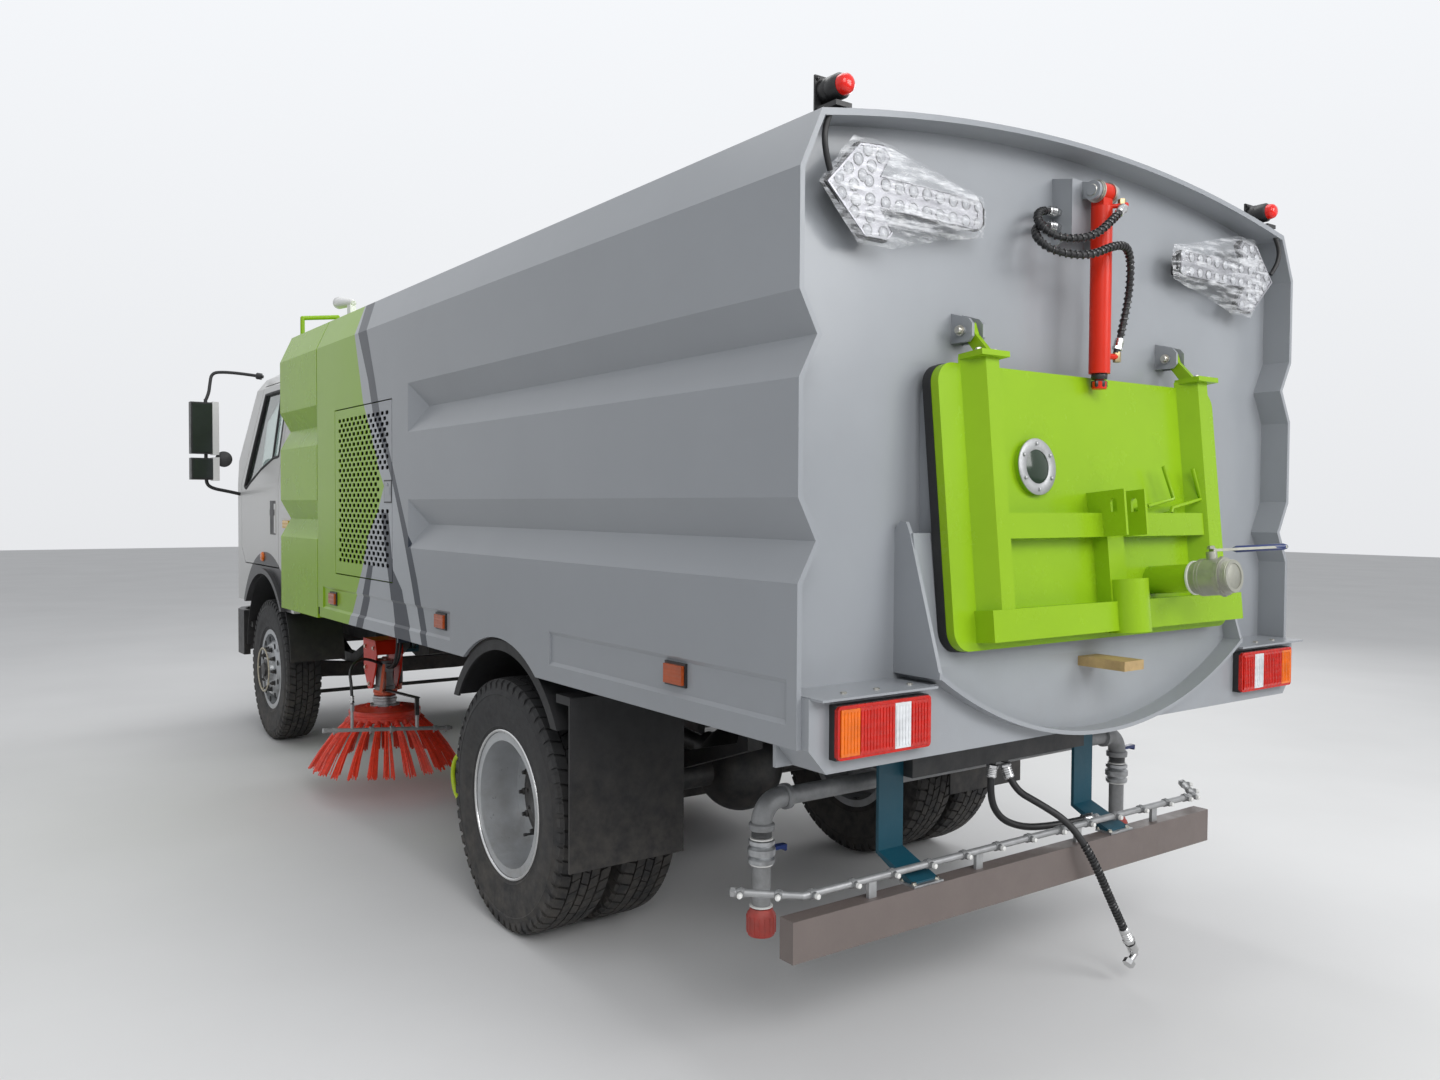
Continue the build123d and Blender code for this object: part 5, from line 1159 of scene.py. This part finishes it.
@both_sides("front_tyre_tread", "tyre_rubber", "front_{}_wheel", "front_tyre_{}", smooth_under=32)
def draw_front_tyre(shape):
    draw_tyre(shape, (wheelbase, 0.850, tyre_radius))


@both_sides("rear_tyre_tread", "tyre_rubber", "rear_{}_wheels", "rear_tyres_{}", smooth_under=32)
def draw_rear_tyres(shape):
    draw_tyre(shape, (0, 0.752, tyre_radius))
    draw_tyre(shape, (0, 1.020, tyre_radius))


@both_sides("rear_rim_rings", "bright_steel", "rear_{}_wheels")
def draw_rear_rim_rings(shape):
    """Bright rings at the lip of the outer rim."""
    for radius, y, wall in ((0.283, 1.1215, 0.0065), (0.252, 1.0900, 0.0045)):
        shape.tube([spot_round((0, y, tyre_radius), radius, turn) for turn in turns(72)], wall, 10,
            closed=True)


@both_sides("rear_hub", "chassis_paint", "rear_{}_wheels")
def draw_rear_hub(shape):
    draw_nuts(shape, (0, 0.958, tyre_radius), 0.019, [(0.0155, 0), (0.0155, 0.022), (0.010, 0.026),
        (0.0085, 0.038), (0, 0.039)])
    shape.lathe((0, 0.958, tyre_radius), left, [(0.1665, 0), (0.1665, 0.005), (0.118, 0.006),
        (0.118, 0.000)], 48)
    shape.lathe((0, 0.957, tyre_radius), left, [(0.113, 0), (0.113, 0.026), (0.108, 0.030), (0.066, 0.031),
        (0.060, 0.040), (0.052, 0.044), (0, 0.044)], 48)
    wheel_bolts(shape, (0, 0.987, tyre_radius), 0.088, 8, 0.009, 0.2)


@both_sides("rear_valve", "chassis_paint", "rear_{}_wheels")
def draw_rear_valve(shape):
    valve_z = tyre_radius - 0.085
    shape.tube(route_line([(-0.180, 0.965, valve_z), (-0.174, 1.010, valve_z),
        (-0.152, 1.070, valve_z + 0.002), (-0.154, 1.108, valve_z + 0.003)]), 0.0048, 8)
    shape.lathe((-0.154, 1.108, valve_z + 0.003), left, [(0.0062, 0), (0.0062, 0.012), (0, 0.013)], 10)


@both_sides("front_hub", "chassis_paint", "front_{}_wheel")
def draw_front_hub(shape):
    draw_nuts(shape, (wheelbase, 0.955, tyre_radius), 0.016, [(0.0150, 0), (0.0150, 0.020), (0.010, 0.024),
        (0.0085, 0.034), (0, 0.035)])
    shape.lathe((wheelbase, 0.956, tyre_radius), left, [(0.082, 0), (0.082, 0.022), (0.074, 0.030),
        (0.050, 0.034), (0.046, 0.048), (0, 0.052)], 40)


@both_sides("front_wheel_ring", "nut_beige", "front_{}_wheel")
def draw_front_ring(shape):
    """Guard ring that stands on five of the wheel nuts."""
    for k in range(5):
        turn = 4 * pi * k / 10
        spot = spot_round((wheelbase, 0.985, tyre_radius), nut_circle, turn)
        shape.rod(spot, spot + spot_round((0, 0.016, 0), 0.006, turn), 0.0050, sides=10)
    circle = [spot_round((wheelbase, 1.001, tyre_radius), 0.149, turn) for turn in turns(60)]
    shape.tube(circle, 0.0050, 10, closed=True)


# Dark discs for the rim's hand holes: painted shade seen through them
@both_sides("front_wheel_slots", "hollow_dark", "front_{}_wheel")
def draw_front_slots(shape):
    for turn in turns(10, pi / 10):
        shape.lathe(spot_round((wheelbase, 0.9535, tyre_radius), 0.208, turn), left,
            [(0.019, 0), (0.019, 0.003), (0, 0.003)], 20)


# Side brushes

brush_x = wheelbase - 1.900
brush_y = 0.800
pipe_x = 1.900
tuft_count = 24
tuft_strands = 30


@both_sides("brush_disc", "brush_red", "{}_brush", "side_brush_{}")
def draw_brush_disc(shape):
    shape.lathe((brush_x, brush_y, 0), up, [(0, 0.430), (0.193, 0.430), (0.197, 0.434), (0.197, 0.450),
        (0.193, 0.454), (0.193, 0.460), (0.197, 0.464), (0.197, 0.480), (0.190, 0.487), (0.150, 0.490),
        (0.125, 0.500), (0.054, 0.503), (0.054, 0.5590), (0, 0.5595)], 56)
    for turn in turns(8):
        shape.bolt(spot_round((brush_x, brush_y, 0.5015), 0.100, turn, "xy"), up, 0.010)
    for turn in turns(tuft_count):
        spot = spot_round((brush_x, brush_y, 0.440), 0.178, turn, "xy")
        out = Vector((cos(turn), sin(turn), -0.9)).normalized()
        shape.rod(spot, spot + out * 0.040, 0.017, 0.019, sides=12)


@both_sides("brush_neck", "galvanised", "{}_brush")
def draw_brush_neck(shape):
    shape.lathe((brush_x, brush_y, 0.503), up, [(0.054, 0), (0.080, 0), (0.080, 0.007), (0.062, 0.010),
        (0.062, 0.024), (0.067, 0.028), (0.067, 0.040), (0.062, 0.044), (0.062, 0.054), (0.054, 0.055),
        (0.054, 0)], 40)


@both_sides("brush_tufts", "bristle_red", "{}_brush")
def draw_tufts(shape):
    for k in range(tuft_count):
        middle = 2 * pi * k / tuft_count + random.uniform(-0.02, 0.02)
        for _ in range(tuft_strands):
            side = random.uniform(-1, 1)
            layer = random.uniform(-1, 1)
            root = middle + side * 0.050
            tip = middle + side * 0.074 + random.uniform(-0.008, 0.008)
            tip_radius = 0.388 - 0.018 * layer + random.uniform(-0.010, 0.008)
            tip_z = 0.172 + 0.010 * layer + random.uniform(-0.004, 0.010)
            line = []
            for share in (0.0, 0.4, 0.75, 1.0):
                turn = root + (tip - root) * share
                radius = 0.182 - 0.012 * layer + (tip_radius - 0.182 + 0.012 * layer) * share
                z = 0.438 + (tip_z - 0.438) * share + 0.030 * sin(pi * share)
                line.append(spot_round((brush_x, brush_y, z), radius, turn, "xy"))
            shape.tube(line, 0.0028, 5)


@both_sides("brush_pipe", "dull_steel", "{}_brush_head")
def draw_brush_pipe(shape):
    """Water pipe across the brush, on its risers and its flat arm."""
    shape.tube([(pipe_x, 1.250, 0.470), (pipe_x, 0.565, 0.410)], 0.0105, 14)
    shape.lathe((pipe_x, 1.246, 0.4697), (0, 1, 0.09), [(0.0105, 0), (0.0145, 0.001), (0.0145, 0.016),
        (0, 0.017)], 6)
    shape.rod((pipe_x, 1.112, 0.458), (pipe_x, 1.112, 0.560), 0.008, sides=12)
    shape.lathe((pipe_x, 1.112, 0.560), up, [(0.013, 0), (0.013, 0.030), (0.010, 0.034), (0, 0.034)], 6)
    shape.rod((pipe_x, 0.762, 0.428), (pipe_x, 0.762, 0.500), 0.010, sides=12)
    for y in (1.200, 1.010, 0.900, 0.660, 0.590):
        z = 0.410 + 0.060 * (y - 0.565) / 0.685
        shape.lathe((pipe_x, y - 0.012, z - 0.001), (0, 1, 0.088), [(0.0105, 0), (0.0155, 0.002),
            (0.0155, 0.022), (0.0105, 0.024)], 14)
        shape.rod((pipe_x + 0.004, y, z - 0.010), (pipe_x + 0.025, y, z - 0.026), 0.006, 0.004, sides=10)


@both_sides("brush_pipe_arm", "chassis_paint", "{}_brush_head")
def draw_pipe_arm(shape):
    shape.prism([(1.888, 0.748), (1.912, 0.748), (2.262, 0.800), (2.262, 0.832), (1.888, 0.776)], "z",
        0.592, 0.598)
    shape.box(1.892, 1.908, 0.752, 0.772, 0.500, 0.598)
    shape.bevel(0.002, 1)


@both_sides("brush_bracket", "red_paint", "{}_brush_head")
def draw_brush_bracket(shape):
    """Folded plates that hang the motor, with the rods between them."""
    outline = [(2.440, 0.870), (2.240, 0.870), (2.215, 0.800), (2.235, 0.720), (2.300, 0.600),
        (2.360, 0.593), (2.430, 0.700)]
    for y in (0.872, 0.728):
        shape.prism(outline, "y", y - 0.004, y + 0.004)
    shape.prism([(2.440, 0.868), (2.440, 0.876), (2.240, 0.876), (2.240, 0.868)], "y", 0.724, 0.876)
    shape.prism([(2.240, 0.872), (2.233, 0.868), (2.208, 0.800), (2.216, 0.797)], "y", 0.724, 0.876)
    shape.bevel(0.0015, 1)
    for x, z in ((2.400, 0.710), (2.400, 0.830), (2.262, 0.832)):
        shape.rod((x, 0.720, z), (x, 0.880, z), 0.011, sides=14)


@both_sides("brush_bolts", "zinc", "{}_brush_head")
def draw_bracket_bolts(shape):
    for x, z in ((2.400, 0.710), (2.400, 0.830), (2.262, 0.832), (2.340, 0.622)):
        shape.bolt((x, 0.876, z), left, 0.012)
    shape.bolt((brush_x, brush_y, 0.760), up, 0.020)
    for turn in turns(4, radians(45)):
        shape.bolt(spot_round((brush_x, brush_y, 0.7605), 0.040, turn, "xy"), up, 0.006)


@both_sides("brush_motor", "pipe_grey", "{}_brush_head")
def draw_motor(shape):
    shape.lathe((brush_x, brush_y, 0.592), up, [(0.056, 0), (0.056, 0.020), (0.0505, 0.024),
        (0.0505, 0.130), (0.054, 0.134), (0.054, 0.160), (0.049, 0.167), (0, 0.1695)], 32)
    shape.box(brush_x - 0.078, brush_x - 0.040, brush_y - 0.022, brush_y + 0.022, 0.700, 0.742)
    for y in (brush_y - 0.011, brush_y + 0.011):
        shape.lathe((brush_x - 0.076, y, 0.722), rear, [(0.0085, 0), (0.0085, 0.016), (0.006, 0.018),
            (0, 0.018)], 6)


brush_hoses = {"brush_water_hose": [(2.262, 0.826, 0.735), (2.180, 0.930, 0.790), (2.050, 1.040, 0.800),
    (1.950, 1.110, 0.760), (1.900, 1.112, 0.680), (1.900, 1.112, 0.594)],
    "brush_oil_hose_1": [(2.246, 0.811, 0.722), (2.140, 0.811, 0.722), (2.070, 0.810, 0.820),
    (2.090, 0.800, 0.930), (2.260, 0.750, 0.985), (2.380, 0.702, 0.960), (2.424, 0.692, 0.950)],
    "brush_oil_hose_2": [(2.246, 0.789, 0.722), (2.170, 0.789, 0.722), (2.110, 0.780, 0.800),
    (2.130, 0.765, 0.900), (2.270, 0.720, 0.940), (2.380, 0.690, 0.915), (2.424, 0.688, 0.905)]}
for sign, side in ((1, "left"), (-1, "right")):
    for name, points in brush_hoses.items():
        line = route_line([(x, sign * y, z) for x, y, z in points])
        shape = Shape()
        shape.tube(line, 0.008, 12)
        tube = shape.piece(f"{name}_{side}", "hose_rubber", f"{side}_brush_head")
        if name == "brush_water_hose":
            make_sleeve(f"{name}_sleeve_{side}", line, 0.985, 0.008, 0.035,
                f"{side}_brush_head")


# Suction nozzle: coloured rings on its wheels

nozzle_rings = Shape()
nozzle_rings.tube([spot_round((1.250, 0.775, 0.285), 0.118, turn) for turn in turns(48)], 0.012, 10,
    closed=True)
nozzle_rings.mirror().piece("nozzle_wheel_rings", "yellow_green", "chassis")


# Cab: glass, frames, lamps and wipers

cab_half = 0.980
cab_front_x = 5.270
glass_lean = 0.450 / 0.830
screen_outline = [(-0.800, 1.745), (0.800, 1.745), (0.800, 2.250), (0.720, 2.440), (-0.720, 2.440),
    (-0.800, 2.250)]
window_outline = [(3.930, 1.955), (3.930, 2.425), (4.530, 2.425), (4.810, 1.760), (4.760, 1.745),
    (4.360, 1.880), (4.060, 1.950)]


def screen_x(z):
    return cab_front_x - 0.060 - (z - 1.720) * glass_lean


def door_y(z):
    return cab_half - max(0.0, z - 1.780) * 0.095 / 0.690


def pane_between(shape, outline, place_point, near, far):
    """Thin closed sheet whose outline points are set in space by place_point(a, b, depth)."""
    shape.sheet(*([place_point(a, b, depth) for a, b in outline] for depth in (near, far)))


def along_outline(outline, place_point, depth, per_side=5):
    spots = []
    for i, one in enumerate(outline):
        two = outline[(i + 1) % len(outline)]
        for k in range(per_side):
            a, b = Vector(one).lerp(Vector(two), k / per_side)
            spots.append(place_point(a, b, depth))
    return spots


def on_screen(y, z, depth):
    return (screen_x(z) - depth, y, z)


def on_door(x, z, depth):
    return (x, door_y(z) - depth, z)


screen_edge = drawn_in(screen_outline, (0, 2.09), 0.995)
screen = Shape()
pane_between(screen, screen_edge, on_screen, 0.014, 0.020)
screen.piece("windscreen", "window_glass", "cab")
screen_seal = Shape()
screen_seal.tube(along_outline(screen_edge, on_screen, 0.008), 0.013, 8, closed=True)
screen_seal.piece("windscreen_seal", "flap_rubber", "cab")
rear_pane = Shape()
rear_pane.box(3.512, 3.518, -0.562, 0.562, 1.898, 2.342)
rear_pane.piece("cab_rear_window", "window_glass", "cab")
rear_seal = Shape()
rear_seal.tube([(3.501, y, z) for y, z in rounded_outline(0.560, 1.900, 2.340, 0.03)], 0.012, 8, closed=True)
rear_seal.piece("cab_rear_window_seal", "flap_rubber", "cab")


@both_sides("door_glass", "window_glass", "{}_cab_door")
def draw_door_glass(shape):
    pane_between(shape, drawn_in(window_outline, (4.33, 2.10), 0.992), on_door, 0.014, 0.019)


@both_sides("door_window_frame", "flap_rubber", "{}_cab_door")
def draw_door_frame(shape):
    shape.tube(along_outline(drawn_in(window_outline, (4.33, 2.10), 0.985), on_door, 0.008), 0.014, 8,
        closed=True)
    shape.tube([on_door(4.12, z, 0.010) for z in (1.945, 2.1, 2.25, 2.42)], 0.009, 8)


@both_sides("door_handle", "trim_black", "{}_cab_door")
def draw_door_handle(shape):
    shape.box(3.935, 4.075, 0.9735, 0.9815, 1.430, 1.660)
    shape.box(3.950, 4.060, 0.9785, 0.9875, 1.560, 1.600)
    shape.bevel(0.004, 2)


@both_sides("cab_marker", "yellow_lens", "cab")
def draw_cab_marker(shape):
    shape.box(3.580, 3.720, 0.976, 0.992, 1.480, 1.530)
    shape.bevel(0.006, 3)


@both_sides("cab_repeater", "amber_lens", "{}_cab_door")
def draw_repeater(shape):
    """Small orange lamp on the flare over the front wheel."""
    shape.lathe((4.277, 0.976, 1.270), left, [(0.034, 0), (0.034, 0.010), (0.026, 0.018), (0, 0.020)], 24)


@both_sides("arch_liner", "flap_rubber", "cab")
def draw_arch_liner(shape):
    """Black lining of the front wheel arch."""
    inner, outer = ([(wheelbase + radius * cos(radians(4 + 4.3 * k)),
        flare_z + radius * sin(radians(4 + 4.3 * k))) for k in range(41)] for radius in (0.586, 0.593))
    shape.prism(outer + inner[::-1], "y", 0.620, 0.972)


@both_sides("cab_steps", "trim_black", "cab")
def draw_step(shape):
    """Black corner with the steps under the door."""
    for z0, z1 in ((0.935, 0.975), (0.735, 0.775)):
        shape.box(4.690, 4.900, 0.760, 0.955, z0, z1)
    shape.box(4.700, 4.890, 0.760, 0.775, 0.735, 0.975)
    shape.bevel(0.006, 2)
    for z in (0.776, 0.976):
        for k in range(6):
            shape.box(4.705 + 0.032 * k, 4.715 + 0.032 * k, 0.790, 0.945, z - 0.002, z + 0.003)


wipers = Shape()
for y in (0.140, 0.640):
    foot = Vector((screen_x(1.700) + 0.012, y, 1.700))
    tip = Vector((screen_x(1.860) + 0.016, y - 0.420, 1.860))
    wipers.rod(foot, tip, 0.008, 0.005, sides=8)
    wipers.lathe(foot - Vector((0.02, 0, 0.006)), (1, 0, 0.5), [(0.018, 0), (0.018, 0.020), (0.010, 0.028),
        (0, 0.028)], 16)
    low = Vector((screen_x(1.770) + 0.012, y - 0.600, 1.770))
    high = Vector((screen_x(1.960) + 0.012, y - 0.220, 1.960))
    wipers.rod(low, high, 0.006, sides=8)
wipers.piece("wipers", "trim_black", "cab")
mirror_heads = Shape()
mirror_heads.box(4.862, 4.935, 1.150, 1.330, 2.000, 2.375)
mirror_heads.box(4.852, 4.935, 1.150, 1.330, 1.812, 1.970)
mirror_heads.bevel(0.022, 4)
mirror_heads.tube(route_line([(4.905, 1.222, 2.400), (4.905, 1.222, 2.100), (4.905, 1.222, 1.830),
    (4.905, 1.216, 1.775), (4.907, 1.170, 1.748), (4.920, 1.080, 1.732), (4.945, 0.970, 1.709)]), 0.0125,
    14)
mirror_heads.mirror().piece("mirror_heads", "trim_black", "cab", stands_for=("cab_mirrors",))


@both_sides("mirror_hoop", "trim_black", "cab")
def draw_mirror_hoop(shape):
    """Upper arm, up from the post and over to the edge of the cab's roof."""
    shape.tube(route_line([(4.905, 1.222, 2.390), (4.905, 1.200, 2.440), (4.905, 1.192, 2.510),
        (4.902, 1.180, 2.592), (4.880, 1.110, 2.604), (4.800, 0.980, 2.592), (4.730, 0.860, 2.572)]),
        0.0115, 14)
    shape.lathe((4.756, 0.905, 2.579), (-0.5, -0.86, -0.14), [(0.018, 0), (0.024, 0.006), (0.024, 0.040),
        (0, 0.042)], 20)


@both_sides("mirror_covers", "white_paint", "cab")
def draw_mirror_cover(shape):
    """Pale covers along the inner edge of the housings."""
    for x0, z0, z1 in ((4.850, 1.994, 2.381), (4.842, 1.806, 1.976)):
        shape.box(x0, 4.938, 1.142, 1.186, z0, z1)
    shape.bevel(0.019, 4)


@both_sides("round_mirror", "trim_black", "cab")
def draw_round_mirror(shape):
    shape.lathe((4.880, 1.105, 1.965), (-1, 0.25, 0), [(0.020, -0.020), (0.052, -0.006), (0.058, 0.004),
        (0.054, 0.010), (0.030, 0.014), (0, 0.015)], 32)
    shape.rod((4.892, 1.105, 1.965), (4.905, 1.160, 1.972), 0.009, sides=12)


@both_sides("mirror_glass", "mirror_glass", "cab")
def draw_mirror_glass(shape):
    shape.box(4.8545, 4.866, 1.180, 1.320, 2.012, 2.363)
    shape.box(4.8445, 4.856, 1.180, 1.320, 1.824, 1.958)
    shape.bevel(0.0035, 2)


grille = Shape()
grille.box(cab_front_x - 0.006, cab_front_x + 0.006, -0.640, 0.640, 1.230, 1.520)
for k in range(6):
    z = 1.250 + 0.046 * k
    grille.prism([(cab_front_x, z), (cab_front_x + 0.016, z + 0.006), (cab_front_x + 0.016, z + 0.020),
        (cab_front_x, z + 0.028)], "y", -0.625, 0.625)
grille.bevel(0.002, 1)
grille.piece("front_grille", "trim_black", "cab")


# On the roof: the intake tube behind the tank

intake = Shape()
intake.lathe((2.460, 1.000, 2.772), (-0.262, 0, -0.037), [(0.027, 0.012), (0.031, 0), (0.034, 0.004),
    (0.032, 0.050), (0.026, 0.150), (0.018, 0.255), (0.012, 0.262), (0, 0.262)], 32)
intake.box(2.205, 2.262, 0.985, 1.015, 2.648, 2.735)
intake.piece("roof_intake", "white_paint", "hopper")
# Dark disc in the mouth of the intake tube: painted shade inside it
intake_mouth = Shape()
intake_mouth.lathe((2.450, 1.000, 2.7706), (0.262, 0, 0.037), [(0.0275, 0), (0.0275, 0.004), (0.020, 0.001),
    (0, 0.001)], 32)
intake_mouth.piece("roof_intake_mouth", "hollow_dark", "hopper")
# Dark plate in the slit between hopper and tank: painted shade, so that the seam reads as a dark line
seam_plate = Shape()
seam_side = half_width - 0.004
seam_plate.prism([(-seam_side, 1.040), (-seam_side, 2.440), (-1.000, 2.600), (0, 2.690), (1.000, 2.600),
    (seam_side, 2.440), (seam_side, 1.040)], "x", 2.2755, 2.2820)
seam_plate.bevel(0.001, 1)
seam_plate.piece("seam_plate", "flap_rubber", "hopper")


# Camera, floor and light

camera_spot = Vector((-3.9538, 2.9522, 1.6376))
camera_yaw = -0.6227
camera_pitch = 0.030
camera_roll = 0.0053
camera_lens = 28.01


def make_camera():
    ahead = Vector((cos(camera_yaw) * cos(camera_pitch), sin(camera_yaw) * cos(camera_pitch),
        -sin(camera_pitch)))
    right = Vector((sin(camera_yaw), -cos(camera_yaw), 0))
    above = right.cross(ahead)
    across = right * cos(camera_roll) + above * sin(camera_roll)
    upward = above * cos(camera_roll) - right * sin(camera_roll)
    data = bpy.data.cameras.new("camera")
    data.lens = camera_lens
    data.sensor_width = 36
    data.clip_end = 200
    camera = bpy.data.objects.new("camera", data)
    camera.matrix_world = (Matrix.Translation(shift(camera_spot))
        @ Matrix((across, upward, -ahead)).transposed().to_4x4())
    bpy.context.scene.collection.objects.link(camera)
    bpy.context.scene.camera = camera


def make_light(name, spot, target, size, power):
    data = bpy.data.lights.new(name, "AREA")
    data.shape = "RECTANGLE"
    data.size, data.size_y = size
    data.energy = power
    lamp = bpy.data.objects.new(name, data)
    lamp.location = shift(spot)
    lamp.rotation_euler = (Vector(target) - Vector(spot)).to_track_quat("-Z", "Y").to_euler()
    bpy.context.scene.collection.objects.link(lamp)


def make_world():
    world = bpy.data.worlds.new("studio")
    bpy.context.scene.world = world
    world.use_nodes = True
    tree = world.node_tree
    tree.nodes.clear()
    path = add(tree, "LightPath").outputs
    seen = math_node(tree, "MAXIMUM", path["Is Camera Ray"],
        math_node(tree, "MAXIMUM", path["Is Glossy Ray"], path["Is Transmission Ray"]))
    rise = add(tree, "SeparateXYZ", {0: add(tree, "TexCoord").outputs["Generated"]}).outputs[2]
    sky = colour_mix(tree, ramp(tree, rise, -0.05, 0.45), (0.80, 0.81, 0.83), (0.93, 0.95, 0.98))
    backdrop = add(tree, "Background", {"Color": sky, "Strength": 1.0})
    soft = add(tree, "Background", {"Color": (0.95, 0.97, 1.0, 1), "Strength": 0.5})
    mixed = add(tree, "MixShader", {0: seen, 1: soft.outputs[0], 2: backdrop.outputs[0]})
    add(tree, "OutputWorld", {"Surface": mixed.outputs[0]}, is_active_output=True)


def make_floor():
    tree, shader = start_material("studio_floor")
    tone = drift_mix(tree, noise(tree, 0.8, 4.0), (0.70, 0.70, 0.70), (0.74, 0.74, 0.74))
    fill(tree, shader, {"Base Color": tone, "Roughness": 0.85})
    bpy.ops.mesh.primitive_plane_add(size=80, location=(0, 0, -0.001))
    floor = bpy.context.object
    floor.name = "studio_floor"
    floor.data.materials.append(materials["studio_floor"])


make_camera()
make_world()
make_floor()
make_light("key_light", (-8.6, 4.0, 6.4), (0.5, 0.5, 1.2), (5, 4), 360)
make_light("rear_light", (-8.0, -2.5, 4.5), (-1.5, 0, 1.5), (4, 3), 250)
make_light("top_light", (1.5, 0, 8.0), (1.5, 0, 0), (8, 4), 240)
make_light("far_light", (6.0, -8.0, 5.0), (2.0, 0, 1.5), (5, 4), 210)

bpy.context.scene.view_settings.view_transform = "Standard"
